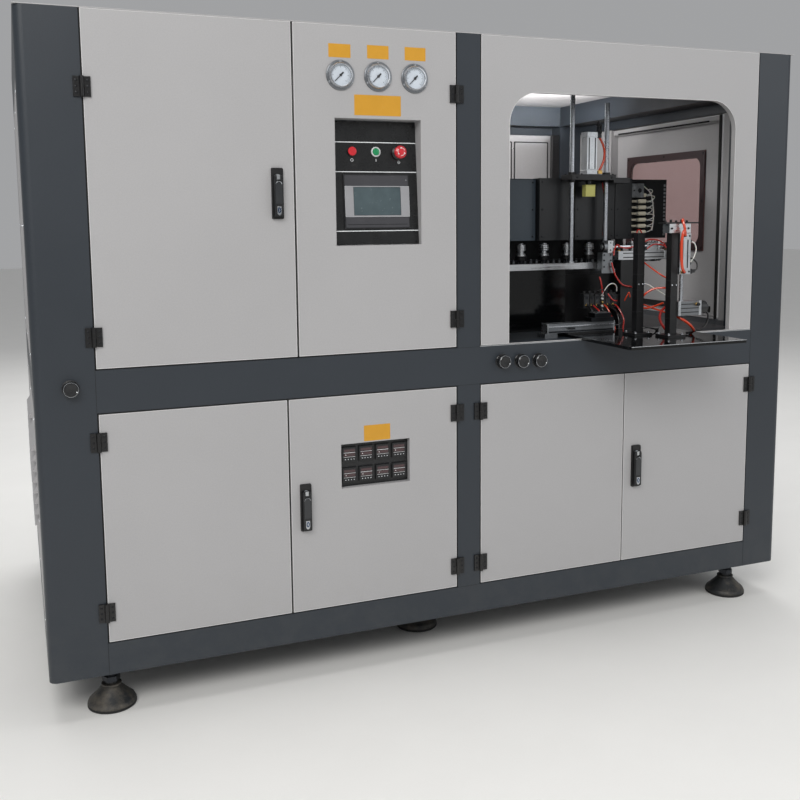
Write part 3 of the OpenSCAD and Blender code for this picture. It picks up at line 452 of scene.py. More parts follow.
    def tube(s, pts, r, seg=8, mi=0, smooth=6, M=WORLD, closed=False):
        """Round tube along points, smoothed through them."""
        P = [Vector(p) for p in pts]
        if smooth > 1:
            Q = []
            n = len(P)
            rng = range(n) if closed else range(n - 1)
            for i in rng:
                p0 = P[(i - 1) % n] if closed or i > 0 else P[0] * 2 - P[1]
                p1, p2 = P[i], P[(i + 1) % n]
                p3 = P[(i + 2) % n] if closed or i + 2 < n else P[-1] * 2 - P[-2]
                for k in range(smooth):
                    t = k / smooth
                    Q.append(0.5 * ((2 * p1) + (p2 - p0) * t + (2 * p0 - 5 * p1 + 4 * p2 - p3) * t * t + (3 * p1 - p0 - 3 * p2 + p3) * t ** 3))
            if not closed:
                Q.append(P[-1])
            P = Q
        n = len(P)
        V, F = [], []
        up = None
        for i in range(n):
            a, b = (P[(i - 1) % n], P[(i + 1) % n]) if closed else (P[max(i - 1, 0)], P[min(i + 1, n - 1)])
            t = (b - a).normalized()
            if up is None:
                up = t.orthogonal().normalized()
            up = (up - t * up.dot(t)).normalized()
            w = t.cross(up)
            for k in range(seg):
                g = 2 * math.pi * k / seg
                V.append(P[i] + up * (r * math.cos(g)) + w * (r * math.sin(g)))
        for i in range(n if closed else n - 1):
            for k in range(seg):
                a, b = i * seg, ((i + 1) % n) * seg
                F.append([a + k, a + (k + 1) % seg, b + (k + 1) % seg, b + k])
        if not closed:
            F += [list(range(seg))[::-1], [(n - 1) * seg + k for k in range(seg)]]
        return s.add(M, V, F, mi)

    def hexagon(s, M, r, h0, h1, mi=0, c=0.4):
        return s.prism(M, [(r * math.cos(math.pi / 3 * i), r * math.sin(math.pi / 3 * i)) for i in range(6)], h0, h1, mi, c)

    def socket(s, M, r, h, mi=0, dark=None):
        """Socket-head screw: knurl-free head with a six-sided pocket."""
        n = 12
        V, F = [], []
        rings = [(r, 0, 0), (r, h * 0.85, 0), (r * 0.88, h, 0), (r * 0.56, h, 1), (r * 0.52, h * 0.4, 1)]
        for rr, hh, hx in rings:
            for i in range(n):
                a = 2 * math.pi * i / n
                k = rr * (0.93 if hx and i % 2 else 1.0)
                V.append((k * math.cos(a), k * math.sin(a), hh))
        for j in range(len(rings) - 1):
            for i in range(n):
                m2 = (i + 1) % n
                F.append([j * n + i, j * n + m2, (j + 1) * n + m2, (j + 1) * n + i])
        s.add(M, V, F, mi)
        return s.add(M, [(r * 0.52 * math.cos(math.pi / 6 * i), r * 0.52 * math.sin(math.pi / 6 * i), h * 0.4) for i in range(n)], [list(range(n))], mi if dark is None else dark)

    def cross(s, M, r, h, mi=0, dark=1):
        """Pan-head screw with a cross recess."""
        s.lathe(M, [(r, 0), (r, h * 0.35), (r * 0.85, h * 0.8), (r * 0.5, h), (0.01, h * 1.02)], 16, mi)
        a, b = r * 0.52, r * 0.11
        for q in ((a, b), (b, a)):
            s.box(M, -q[0], q[0], -q[1], q[1], h * 0.7, h * 1.06, dark, r=0.02)
        return s

    def make(s, angle=32):
        me = bpy.data.meshes.new(s.name)
        me.from_pydata([tuple(p) for p in s.v], [], s.f)
        for m in s.mats:
            me.materials.append(m)
        me.polygons.foreach_set("material_index", s.mi)
        me.polygons.foreach_set("use_smooth", [True] * len(s.f))
        me.update()
        me.set_sharp_from_angle(angle=math.radians(angle))
        o = bpy.data.objects.new(s.name, me)
        bpy.context.scene.collection.objects.link(o)
        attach(o, s.body)
        return o


def rrect(w, h, r, n=4, cx=0.0, cy=0.0):
    """Outline of a rounded rectangle."""
    out = []
    for q, (sx, sy) in enumerate(((1, 1), (-1, 1), (-1, -1), (1, -1))):
        for i in range(n + 1):
            a = math.pi / 2 * (q + i / n)
            out.append((cx + sx * (w / 2 - r) + r * math.cos(a), cy + sy * (h / 2 - r) + r * math.sin(a)))
    return out


# ------------------------------------------------------------------ materials of the CAD nodes
def dress(node, *mats, pick=None):
    """Gives a CAD node its materials; pick chooses by the face's centre and normal (mm, depth behind the front plane)."""
    o = N[node]
    me = o.data
    me.materials.clear()
    for m in mats:
        me.materials.append(m)
    idx = [0] * len(me.polygons)
    if pick:
        for i, p in enumerate(me.polygons):
            c = p.center
            idx[i] = pick(c.x * 1000, c.y * 1000 - FY, c.z * 1000, p.normal)
    me.polygons.foreach_set("material_index", idx)
    me.update()


dress("frame_columns", frame_m)
# right top rail: its undersides get the near-black copy as painted shade, its inner face a near-identical copy of the
# frame paint
dress("frame_rails", frame_m, inner_m, inner_dark_m, pick=lambda x, y, z, n: 0 if y < 101 or x < 1100 or z < 1860 else (2 if n.z < -0.5 else (1 if n.x < -0.5 else 0)))
dress("deck_plates", deck_m)
dress("levelling_feet", iron_m, dark_steel_m, pick=lambda x, y, z, n: 1 if 70 < z < 117 else 0)
dress("fixed_panels", panel_m)
dress("window_panel", panel_m)
for d in ("upper_left_door", "control_door", "lower_door_1", "lower_door_2", "lower_door_3", "lower_door_4"):
    dress(d, panel_m, hinge_m, pick=lambda x, y, z, n: 1 if y < -0.1 else 0)
dress("side_door", panel_m, hinge_m, pick=lambda x, y, z, n: 1 if x > 1327.1 else 0)
dress("side_window", acrylic_m)
dress("hinge_halves", hinge_m)
for i in (1, 2, 3):
    dress(f"handle_base_{i}", black_m)
    dress(f"handle_spindle_{i}", zinc_m)
    dress(f"handle_lever_{i}", black_pl)
    dress(f"gauge_needle_{i}", mark_k)
for i in (1, 2, 3, 4):
    dress(f"regulator_knob_{i}", knob_pl)
dress("control_face", face_m)
dress("touch_panel", grey_pl)
dress("stop_button", red_pl)
dress("start_button", green_pl)
dress("emergency_stem", light_pl)
dress("emergency_head", red_pl)
dress("gauge_cases", gauge_rim_m, gauge_m, pick=lambda x, y, z, n: 1 if y > -4.6 else 0)
dress("temperature_controllers", black_pl)
dress("pneumatic_cylinders", alu_z, alu_x, black_pl, block_m, pick=lambda x, y, z, n: 2 if 600 < x < 750 and 1120 < z < 1180 and y > 200 else (3 if z < 1088.9 and n.y < -0.5 else (1 if (x > 750 and y > 200) or z < 1090 else 0)))
dress("guide_rods", rod_z)
dress("table_plate", gloss_m)
dress("black_brackets", black_m, gloss_m, pick=lambda x, y, z, n: 1 if 300.9 < y < 304.1 and x < 561 else 0)
dress("aluminium_rails", alu_x, block_m, pick=lambda x, y, z, n: 1 if 675 < x < 735.5 and 230 < y < 320 and z < 1267.6 or 675 < x < 722.5 and y < 271 and 200 < y and z < 1328.6 else 0)
dress("oven_boxes", oven_m, oven_blue_m, inner_dark_m, pick=lambda x, y, z, n: 2 if 539 < y < 544 and z < 1372 else (1 if x < 467.5 and y < 400 else 0))
dress("oven_lamps", quartz_m, ceramic_m, pick=lambda x, y, z, n: 1 if x < 20.8 or x > 1029.2 else 0)
dress("conveyor_chain", dark_steel_m)
dress("preform_spindles", head_m, chrome_m, pick=lambda x, y, z, n: 1 if z > 1349 else 0)
dress("drive_sprocket", steel_m)
dress("idler_sprocket", steel_m)
dress("clamp_frame", clamp_m)
dress("front_platen", steel_m, alu_mill, pick=lambda x, y, z, n: 1 if y > 420.5 else 0)
dress("rear_platen", steel_m, alu_mill, pick=lambda x, y, z, n: 1 if y < 779.5 else 0)
dress("blow_head", alu_mill, clamp_m, pick=lambda x, y, z, n: 1 if y > 651.9 and z > 1512 else 0)
dress("stretch_rods", rod_z, steel_m, pick=lambda x, y, z, n: 1 if z > 1839.9 and (abs(n.z) > 0.9 or True) and z >= 1840 else 0)
dress("slide_carriage", dark_steel_m)
dress("transfer_rod", chrome_m, block_m, alu_mill, pick=lambda x, y, z, n: 1 if x < 698.6 else (2 if x > 879.9 and z > 1333 and (abs(y - 251) > 7 or abs(z - 1350) > 7 or abs(n.x) > 0.9) else 0))
dress("lift_rod", rod_z, alu_x, block_m, pick=lambda x, y, z, n: (2 if n.y < -0.5 else 1) if z < 1171.1 else 0)
dress("press_pad", rod_z, pad_pl, pick=lambda x, y, z, n: 1 if z < 1579.1 else 0)


def unit_pick(x, y, z, n):
    if y > 780:
        return 1
    if x > 600 or x > -120:
        return 0
    if 639.5 < y < 643.5:
        return 2
    if z < 405:
        return 4
    return 3


dress("cabinet_units", unit_m, tank_m, galv_m, light_pl, grey_pl, pick=unit_pick)

# ------------------------------------------------------------------ hinges and handles
HL = [("upper_left_door", -1158.5, 1829), ("upper_left_door", -1158.5, 1135.5), ("lower_door_1", -1158.5, 832), ("lower_door_1", -1158.5, 322),
      ("lower_door_3", 58, 825), ("lower_door_3", 58, 304)]
HR = [("control_door", -27.5, 1850), ("control_door", -27.5, 1136), ("lower_door_2", -27.5, 826), ("lower_door_2", -27.5, 303),
      ("lower_door_4", 1172.5, 836), ("lower_door_4", 1172.5, 321)]
per_door = {}
fixed = B("hinge_fixings_frame", "cabinet", black_screw_m, mark_k, hinge_m)


def hinge_marks(b, x, z, y):
    for dz in (-16.5, 0, 16.5):
        M = FR(x, z + dz, y)
        b.ring(M, 2.9, 4.4, 0, 0.25, 16, 2)
        b.lathe(M, [(3.0, 0), (3.0, 0.45), (2.4, 0.8), (0.01, 0.95)], 14, 0)
        b.box(M, -1.9, 1.9, -0.35, 0.35, 0.7, 1.05, 1, r=0.02)
        b.box(M, -0.35, 0.35, -1.9, 1.9, 0.7, 1.05, 1, r=0.02)


for s, rows in ((1, HL), (-1, HR)):
    for door, x, z in rows:
        b = per_door.setdefault(door, B(f"hinge_fixings_{door}", door, black_screw_m, mark_k, hinge_m))
        hinge_marks(b, x + s * 15.6, z, -5.0)
        hinge_marks(fixed, x - s * 15.6, z, -4.8)
        b.cyl(UP(x, -6.7, z), 6.2, 27.4, 28.6, 18, 2)
        fixed.cyl(DN(x, -6.7, z), 6.2, 27.4, 28.6, 18, 2)
for b in per_door.values():
    b.make()
side_b = B("hinge_fixings_side_door", "side_door", black_screw_m, mark_k, hinge_m)
for z in (1700, 1190):
    for dz in (-16.5, 16.5):
        for b, y, x in ((side_b, 1107 - 15.6, 1332.2), (fixed, 1107 + 15.6, 1331.9)):
            M = RT(y, z + dz, x)
            b.lathe(M, [(3.0, 0), (3.0, 0.45), (2.4, 0.8), (0.01, 0.95)], 14, 0)
            b.box(M, -1.9, 1.9, -0.35, 0.35, 0.7, 1.05, 1, r=0.02)
fixed.make()
side_b.make()

HANDLES = [(-616, 1539, "upper_left_door"), (-549, 567, "lower_door_2"), (675, 575, "lower_door_4")]
lock_blue = metal("lock_blue", "#1f3f66", 0.25, None, 0.3)
for i, (x, z, door) in enumerate(HANDLES, 1):
    b = B(f"handle_trim_{i}", f"handle_lever_{i}", gauge_rim_m, lock_blue, black_pl, dark_pl)
    M = FR(x, z, -20.0)
    grip = [(-10.6, -31)] + [(10.6, -31)] + [(10.6 * math.cos(a), 24 + 12.3 * math.sin(a)) for a in [math.pi * k / 12 for k in range(13)]]
    b.prism(M, grip, 0, 1.6, 3, 1.0)
    # bright metal arc along the lever's rounded top: painted highlight of the top
    arch = [(9.8 * math.cos(math.pi * k / 12), 24 + 11.2 * math.sin(math.pi * k / 12), 1.5) for k in range(1, 12)]
    b.tube(arch, 0.75, 6, 0, 2, M)
    shield = [(-6.8, -38), (-6.8, -57), (-5.4, -61), (-3.0, -64), (0, -65.2), (3.0, -64), (5.4, -61), (6.8, -57), (6.8, -38)]
    b.prism(M, shield, 0, 1.6, 0, 0.8)
    oval = [(5.0 * math.cos(2 * math.pi * k / 24), -49.5 + 8.4 * math.sin(2 * math.pi * k / 24)) for k in range(24)]
    b.prism(M, oval, 1.5, 2.1, 1, 0.3)
    slot = [(2.0 * math.cos(2 * math.pi * k / 16), -49.5 + 5.2 * math.sin(2 * math.pi * k / 16)) for k in range(16)]
    b.prism(M, slot, 2.05, 2.35, 0, 0.1)
    b.make()
    b = B(f"handle_rim_{i}", door, black_m, rubber_m, screw_m)
    M = FR(x, z, -7.0)
    b.frame(M, rrect(34.4, 149.4, 4, 4), rrect(28.6, 143.6, 2.5, 4), 0, 1.0, 0)
    b.frame(FR(x, z, 0), rrect(36.4, 151.4, 4, 4), rrect(33, 148, 4, 4), 0, 0.6, 1)
    M = BK(x, z + 48, 2.0)
    b.ring(M, 9.7, 16, 0.05, 5, 24, 2)
    b.hexagon(BK(x, z - 55, 2.0), 6, 0.05, 5, 2)
    b.make()
    b = B(f"cam_nut_{i}", f"handle_spindle_{i}", screw_m)
    b.hexagon(BK(x, z + 48, 29.0), 7, 0.02, 5, 0)
    b.make()

# ------------------------------------------------------------------ labels without lettering, control face
b = B("labels_control_door", "control_door", label_y)
for x0, x1, z0, z1 in ((-449, -379, 1944, 1984), (-326, -256, 1945.5, 1985.5), (-203, -133, 1946, 1986), (-369.5, -217, 1775.5, 1837)):
    b.prism(FR((x0 + x1) / 2, (z0 + z1) / 2, 0), rrect(x1 - x0, z1 - z0, 1.5, 3), 0.02, 0.30, 0, 0.1)
b.make()
b = B("label_lower_door_2", "lower_door_2", label_y)
b.prism(FR(-308.5, 785.2, 0), rrect(89.5, 51, 1.5, 3), 0.02, 0.30, 0, 0.1)
b.make()

b = B("control_face_trim", "control_door", mark_w, mark_k, chrome_m, black_pl, band_pl, screen_m, screw_m, black_screw_m, red_pl, rubber_m, light_pl)
for u in (317.0, 225.7, 42.3):
    b.box(FACE(0, u), -432.2, -151.3, -1.3, 1.3, 0.02, 0.35, 0, r=0.1)
for x in (-424, -159):
    for u in (8, 374):
        b.cross(FACE(x, u), 3.2, 1.6, 7, 1)
# bezels: dark ring for the red button, bright ring for the green one
M = FACE(-365.7, 288.4)
b.lathe(M, [(14.3, 0.02), (16.4, 0.02), (16.4, 1.6), (15.6, 3.2), (14.3, 3.2), (14.3, 0.02)], 40, 3, cap=False)
M = FACE(-286.4, 288.0)
b.lathe(M, [(11.4, 0.02), (15.8, 0.02), (15.8, 1.4), (14.8, 3.6), (12.6, 4.4), (11.4, 3.8), (11.4, 0.02)], 40, 10, cap=False)
b.torus(M, 16.2, 0.7, 40, 6, 3, 0.4)
M = FACE(-209.7, 286.5)
b.lathe(M, [(11.35, 0.02), (21.5, 0.02), (21.5, 1.4), (17.5, 4.0), (16, 5.2), (12, 5.8), (11.35, 0.02)], 40, 3, cap=False)
# generic symbols: circle, bar and a crossed ring
M = FACE(-366, 262)
b.ring(M, 3.6, 4.7, 0.02, 0.25, 24, 0)
M = FACE(-286.5, 262)
b.box(M, -0.7, 0.7, -4.4, 4.4, 0.02, 0.25, 0, r=0.05)
M = FACE(-209.7, 256.5)
b.ring(M, 3.4, 4.3, 0.02, 0.25, 24, 0)
b.box(M, -2.4, 2.4, -0.45, 0.45, 0.02, 0.25, 0, r=0.05)
# operator panel: case rim, bright band, dark screen
M = FACE(-289.5, 133.5, 6.2)
b.frame(M, rrect(216.6, 167.6, 3, 4), rrect(211, 162, 2, 4), 0, 0.5, 3)
Mb = FACE(-288.6, 133.2, 6.2)
b.frame(Mb, rrect(212.4, 94.0, 1.5, 4), rrect(157.4, 88.6, 1.0, 4, -0.7, 0.9), 0.02, 1.4, 4)
b.frame(Mb, rrect(213.6, 95.2, 1.5, 4), rrect(212.6, 94.2, 1.5, 4), 0.02, 1.0, 0)
b.frame(Mb, rrect(157.2, 88.4, 1.0, 4, -0.7, 0.9), rrect(155.4, 86.6, 1.0, 4, -0.7, 0.9), 0.02, 1.0, 1)
b.prism(FACE(-289.3, 134.1, 6.2), rrect(155.6, 86.8, 1.0, 4), 0.02, 0.6, 5, 0.0)
b.lathe(FACE(-190.5, 200, 6.2), [(1.7, 0.02), (1.7, 0.5), (0.01, 0.9)], 12, 4)
b.box(FACE(-289.5, 62, 6.2), -100, 100, -1.0, 1.0, 0.02, 0.35, 3, r=0.1)
# seal in the recess corner
for x in (-432.7, -150.8):
    b.box(FACE(x, 191, 0), -0.25, 0.25, -190, 190, -2.6, 0.4, 9, r=0.1)
b.make()
b = B("emergency_head_marks", "emergency_head", mark_w, light_pl)
M = FACE(-209.7, 286.5)
for k in range(3):
    a0 = math.radians(k * 120 + 20)
    pts = [(11.8 * math.cos(a0 + t), 11.8 * math.sin(a0 + t), 26.2) for t in [math.radians(q) for q in range(0, 71, 10)]]
    b.tube(pts, 0.75, 6, 0, 1, M)
    a1 = a0 + math.radians(80)
    tip = [(14.6 * math.cos(a1 - 0.18), 14.6 * math.sin(a1 - 0.18)), (9.0 * math.cos(a1 - 0.18), 9.0 * math.sin(a1 - 0.18)), (11.8 * math.cos(a1 + 0.16), 11.8 * math.sin(a1 + 0.16))]
    b.prism(M, tip[::-1], 25.2, 26.7, 0)
b.make()
b = B("stop_cap", "stop_button", red_pl)
b.lathe(FACE(-365.7, 288.4), [(11.0, 4.7), (13.6, 5.0), (13.7, 7.0), (12.6, 8.2), (8.0, 8.9), (0.01, 9.1)], 36, 0)
b.make()
b = B("start_cap", "start_button", green_pl)
b.lathe(FACE(-286.4, 288.0), [(10.6, 4.9), (11.0, 5.4), (10.3, 6.6), (6.0, 7.5), (0.01, 7.9)], 32, 0)
b.make()

# ------------------------------------------------------------------ pressure gauges
GAUGES = [(-413, 1892), (-292, 1893), (-171, 1892)]
b = B("gauge_trim", "control_door", gauge_rim_m, dial_m, mark_k, screw_m, gauge_m, brass_m)
for gx, gz in GAUGES:
    M = FR(gx, gz, 0)
    b.lathe(M, [(44.7, 0.05), (45.0, 1.0), (44.4, 3.2), (42.8, 4.1), (41.4, 3.7)], 64, 4, cap=False)
    b.lathe(M, [(38.6, 3.9), (38.4, 6.0), (37.2, 9.6), (35.4, 11.8), (33.0, 12.2), (31.6, 11.0), (31.2, 6.0), (31.2, 4.4)], 64, 0, cap=False)
    b.lathe(M, [(31.3, 4.02), (31.3, 4.5), (2.2, 4.5)], 48, 1, cap=False)
    for k in range(31):
        a = math.radians(225 - 270 * k / 30)
        big = k % 5 == 0
        r0, r1 = (22.0, 27.5) if big else (24.8, 27.5)
        ca, sa = math.cos(a), math.sin(a)
        w = 0.45 if big else 0.22
        pts = [(r0 * ca + w * sa, r0 * sa - w * ca), (r1 * ca + w * sa, r1 * sa - w * ca), (r1 * ca - w * sa, r1 * sa + w * ca), (r0 * ca - w * sa, r0 * sa + w * ca)]
        b.prism(M, pts, 4.5, 4.62, 2)
    arc = [(28.4 * math.cos(math.radians(225 - 270 * k / 40)), 28.4 * math.sin(math.radians(225 - 270 * k / 40)), 4.55) for k in range(41)]
    b.tube(arc, 0.22, 4, 2, 1, M)
    for a in (90, 210, 330):
        q = math.radians(a)
        b.cross(FR(gx + 40.6 * math.cos(q), gz + 40.6 * math.sin(q), -3.4), 2.9, 1.5, 3, 2)
    Mb = BK(gx, gz, 28)
    b.hexagon(Mb, 9, 0.02, 9, 5)
    b.cyl(Mb, 6, 9, 24, 16, 5)
b.make()
for i, (gx, gz) in enumerate(GAUGES, 1):
    b = B(f"needle_tail_{i}", f"gauge_needle_{i}", mark_k, chrome_m)
    b.lathe(FR(gx, gz, 0), [(3.2, 7.4), (3.2, 8.1), (1.6, 8.6), (0.01, 8.7)], 16, 0)
    a = math.radians(45)
    ca, sa = math.cos(a), math.sin(a)
    b.prism(FR(gx, gz, 0), [(2 * ca + 2.2 * sa, 2 * sa - 2.2 * ca), (12 * ca + 2.2 * sa, 12 * sa - 2.2 * ca), (12 * ca - 2.2 * sa, 12 * sa + 2.2 * ca), (2 * ca - 2.2 * sa, 2 * sa + 2.2 * ca)], 6.1, 7.1, 0)
    b.make()
b = B("gauge_glass", "control_door", glass_m)
for gx, gz in GAUGES:
    b.lathe(FR(gx, gz, 0), [(31.4, 9.6), (31.4, 10.6), (0.01, 11.2)], 48, 0, cap=False)
b.make()

# ------------------------------------------------------------------ temperature controllers
b = B("controller_faces", "lower_door_2", black_pl, display_m, mark_w, grey_pl, light_pl, black_screw_m, mark_k)
for i in range(4):
    for j in range(2):
        cx, cz = -398 + i * 56.5, 651 + j * 67
        M = FR(cx, cz, 14)
        b.frame(M, rrect(47.6, 47.6, 2.5, 3), rrect(43.4, 43.4, 1.5, 3), 0, 1.1, 0)
        b.box(M, -18.6, 18.6, 8.6, 17.2, 0.02, 0.5, 1, r=0.15)
        b.box(M, -18.6, 18.6, -5.4, 4.2, 0.02, 0.5, 1, r=0.15)
        b.box(M, -19.5, 19.5, 5.4, 6.6, 0.02, 0.6, 2 if (i + j) % 2 else 4, r=0.1)
        b.box(M, -19.5, 19.5, -8.4, -7.3, 0.02, 0.6, 4, r=0.1)
        b.box(M, -19.5, 19.5, 18.6, 19.3, 0.02, 0.5, 3, r=0.1)
        b.lathe(FR(cx - 12.5, cz - 0.6, 14), [(1.5, 0.4), (1.3, 0.9), (0.01, 1.0)], 10, 2)
        for k in range(4):
            b.box(M, -17.6 + k * 9.6, -10.6 + k * 9.6, -17.4, -12.2, 0.02, 1.3, 3, r=0.4)
            b.prism(M, [(-16.0 + k * 9.6, -16.0), (-12.2 + k * 9.6, -16.0), (-14.1 + k * 9.6, -13.4)], 1.3, 1.42, 2)
for x in (-427, -200):
    for z in (620, 749):
        b.cross(FR(x, z, 20.3), 2.6, 1.3, 5, 6)
for i in range(4):
    for j in range(2):
        Mb = BK(-398 + i * 56.5, 651 + j * 67, 71)
        for r in (-1, 1):
            b.box(Mb, r * 12 - 6, r * 12 + 6, -19, 19, 0.02, 9, 0, r=0.6)
            for k in range(5):
                b.cross(BK(-398 + i * 56.5 - r * 12, 651 + j * 67 - 15 + k * 7.5, 80), 2.2, 1.2, 5, 6)
b.make()

# ------------------------------------------------------------------ regulator knobs
for i, (x, z) in enumerate([(-1228, 993), (138, 987), (208, 984), (276, 982)], 1):
    b = B(f"knob_grip_{i}", f"regulator_knob_{i}", knob_pl, mark_w, black_pl, gauge_rim_m)
    M = FR(x, z, 0)
    for k in range(30):
        a = 2 * math.pi * k / 30
        R = FR(x + 22.4 * math.cos(a), z + 22.4 * math.sin(a), 0)
        b.lathe(R, [(0.9, 4.0), (1.1, 5.0), (1.1, 17.0), (0.5, 18.5)], 6, 0)
    b.lathe(M, [(23.2, 2.0), (23.4, 2.6), (23.4, 3.8), (22.6, 4.4)], 40, 0, cap=False)
    b.lathe(M, [(18.0, 25.6), (17.6, 26.3), (15.0, 26.5), (13.6, 26.0), (0.01, 25.9)], 40, 2, cap=False)
    b.torus(M, 20.4, 0.7, 40, 6, 3, 24.0)
    # small white dot on the knob's right rim: painted highlight
    b.lathe(FR(x + 15.5, z - 7, 0), [(1.9, 22.0), (1.9, 26.4), (0.01, 27.0)], 12, 1)
    b.make()
b = B("knob_collars", "cabinet", black_pl, brass_m, blue_h)
for x, z in [(-1228, 993), (138, 987), (208, 984), (276, 982)]:
    b.lathe(FR(x, z, 0), [(5.6, 0.02), (24.6, 0.02), (24.6, 0.8), (22.6, 1.6), (5.6, 1.6)], 40, 0, cap=False)
b.make()

# ------------------------------------------------------------------ door seals, stiffeners, screws
DOORS = {"upper_left_door": (-1155.5, -565, 1044.5, 2039.5), "control_door": (-558.5, -30, 1044.5, 2039.5), "lower_door_1": (-1155.5, -601.5, 230.5, 911.5),
         "lower_door_2": (-595.5, -30, 230.5, 911.5), "lower_door_3": (60.5, 620, 230.5, 911.5), "lower_door_4": (624.5, 1170, 230.5, 911.5)}
FREE = {"upper_left_door": (-564.9, -561.4), "lower_door_1": (-601.4, -598.0), "lower_door_3": (620.1, 622.9)}
for d, (x0, x1, z0, z1) in DOORS.items():
    b = B(f"inner_fittings_{d}", d, rubber_m, panel_m, zinc_m, screw_m, highlight_edge_m)
    w, h = x1 - x0, z1 - z0
    M = BK((x0 + x1) / 2, (z0 + z1) / 2, 2.0)
    b.frame(M, rrect(w - 8, h - 8, 3, 2), rrect(w - 34, h - 34, 3, 2), 0.02, 9.0, 0)
    # painted highlight: a rim of lighter paint along the folded edge; and the black strip on the free side, which
    # paints the shade in the gap
    b.frame(FR((x0 + x1) / 2, (z0 + z1) / 2, 0), rrect(w - 0.1, h - 0.1, 1.0, 3), rrect(w - 3.4, h - 3.4, 1.0, 3), 0.02, 0.16, 4)
    if d in FREE:
        b.box(WORLD, FREE[d][0], FREE[d][1], 2, 20, z0 + 0.5, z1 - 0.5, 0, r=0.8)
    for t in ((0.25, 0.75) if d not in ("control_door", "lower_door_2") else (0.12,)):
        zz = z0 + h * t
        Ms = BK((x0 + x1) / 2, zz, 2.0)
        b.box(Ms, -w / 2 + 20, w / 2 - 20, -22, 22, 0.02, 14, 1, r=1.2)
        for k in (-1, 1):
            for q in (-0.38, 0, 0.38):
                b.lathe(BK((x0 + x1) / 2 + q * w, zz + k * 14, 16.0), [(3.4, 0), (3.0, 1.4), (0.01, 2.2)], 12, 3)
    b.make()

# ------------------------------------------------------------------ frame details: weld lines, sill, black gap strips drawn as gaskets, which paint the shade of the gaps, screws
b = B("frame_seams", "cabinet", rubber_m, frame_m, screw_m, mark_k)
for x in (-1160, 1174):
    for z0, z1 in ((130.5, 226), (916.5, 1040)):
        b.box(FR(x, (z0 + z1) / 2, 0), -0.5, 0.5, -(z1 - z0) / 2, (z1 - z0) / 2, 0.02, 0.35, 0, r=0.1)
for z in (226.5, 916.0, 1040.0):
    b.box(FR(15.25, z, 0), -40.7, 40.7, -0.45, 0.45, 0.02, 0.30, 0, r=0.1)
b.make()
# black strips set into the door gaps and under the window panel: painted shade of the gaps, drawn as rubber
b = B("gap_shade_strips", "cabinet", rubber_m)
for x0, x1, z0, z1 in ((-1159.9, -1156.6, 1044, 2039), (-1159.9, -1156.6, 228, 914), (-29.2, -25.7, 1044, 2039), (-29.2, -25.7, 228, 914), (56.2, 59.6, 228, 914), (56.2, 59.9, 1045, 2039),
                       (1170.8, 1173.8, 228, 914), (1170.3, 1173.8, 1045, 2039)):
    b.box(WORLD, x0, x1, 2, 20, z0, z1, 0, r=0.6)
for x0, x1 in ((-1159, -26), (57, 1173)):
    b.box(WORLD, x0, x1, 2, 20, 226.7, 229.4, 0, r=0.6)
    b.box(WORLD, x0, x1, 2, 20, 912.7, 915.8, 0, r=0.6)
b.box(WORLD, -1159, -26, 2, 20, 1040.2, 1043.2, 0, r=0.6)
b.box(WORLD, 57, 162.5, 3, 20, 1042.6, 1043.7, 0, r=0.4)
b.make()
# thin rims of the lighter paint round the window panel and its opening: painted highlight of the edges
b = B("window_panel_highlight_rim", "cabinet", highlight_edge_m)
b.frame(FR(615.25, 1541.75, 0), rrect(1109.4, 995.4, 1.0, 3), rrect(1106.2, 992.2, 1.0, 3), 0.02, 0.16, 0)
rim = [(163 + 912 * k, 1044.6) for k in (1, 0)]
for k in range(17):
    a = math.pi - math.pi / 2 * k / 16
    rim.append((265 + 102 * math.cos(a), 1764 + 102 * math.sin(a)))
for k in range(17):
    a = math.pi / 2 - math.pi / 2 * k / 16
    rim.append((973 + 102 * math.cos(a), 1764 + 102 * math.sin(a)))
loop = [(x, -0.15, z) for x, z in rim[1:]] + [(1075, -0.15, 1044.6)]
b.tube(loop, 0.9, 6, 0, 1)
b.make()

b = B("side_gap_shade_strips_and_screws", "cabinet", rubber_m, screw_m, mark_k, panel_m)
# black strips at the side door's front edge and along its top: painted shade of the gaps, drawn as rubber
b.box(WORLD, 1293, 1299, 340, 356.5, 1042, 1862, 0, r=2)
b.box(WORLD, 1293, 1299, 420, 1059, 1838.5, 1845, 0, r=1.5)
b.box(WORLD, 1299.5, 1326, 358, 1105, 1839.5, 1860, 3, r=1.5)
b.box(WORLD, 1291, 1326, 358, 1105, 1041, 1049.5, 3, r=1.5)
for y in (170, 300, 1130, 1360):
    for z in (1080, 1450, 1820):
        b.cross(RT(y, z, 1327.0), 4.2, 2.2, 1, 2)
for z in (260, 570, 880):
    for y in (175, 760, 1355):
        b.cross(RT(y, z, 1327.0), 4.2, 2.2, 1, 2)
        b.cross(LF(y, z, -1327.0), 4.2, 2.2, 1, 2)
for z in (1075, 1450, 1830):
    for y in (175, 760, 1355):
        b.cross(LF(y, z, -1327.0), 4.2, 2.2, 1, 2)
b.make()
b = B("side_window_screws", "side_door", black_screw_m, mark_k, rubber_m, brown_pl)
for y in (480, 743, 1006):
    for z in (1328, 1524, 1720):
        if y != 743 or z != 1524:
            M = LF(y, z, 1318.8)
            b.lathe(M, [(4.6, 0), (4.6, 0.8), (3.2, 1.0)], 16, 2)
            b.cross(LF(y, z, 1318.0), 3.4, 1.8, 0, 1)
            b.hexagon(RT(y, z, 1327.0), 4.2, 0.02, 2.6, 0)
pts = rrect(498, 364, 42, 8)
b.frame(LF(743, 1524, 1318.8), rrect(549, 415, 2, 8), rrect(494, 360, 40, 8), 0.05, 0.8, 3)
b.frame(RT(743, 1524, 1327.0), pts, rrect(488, 354, 38, 8), 0.02, 1.4, 2)
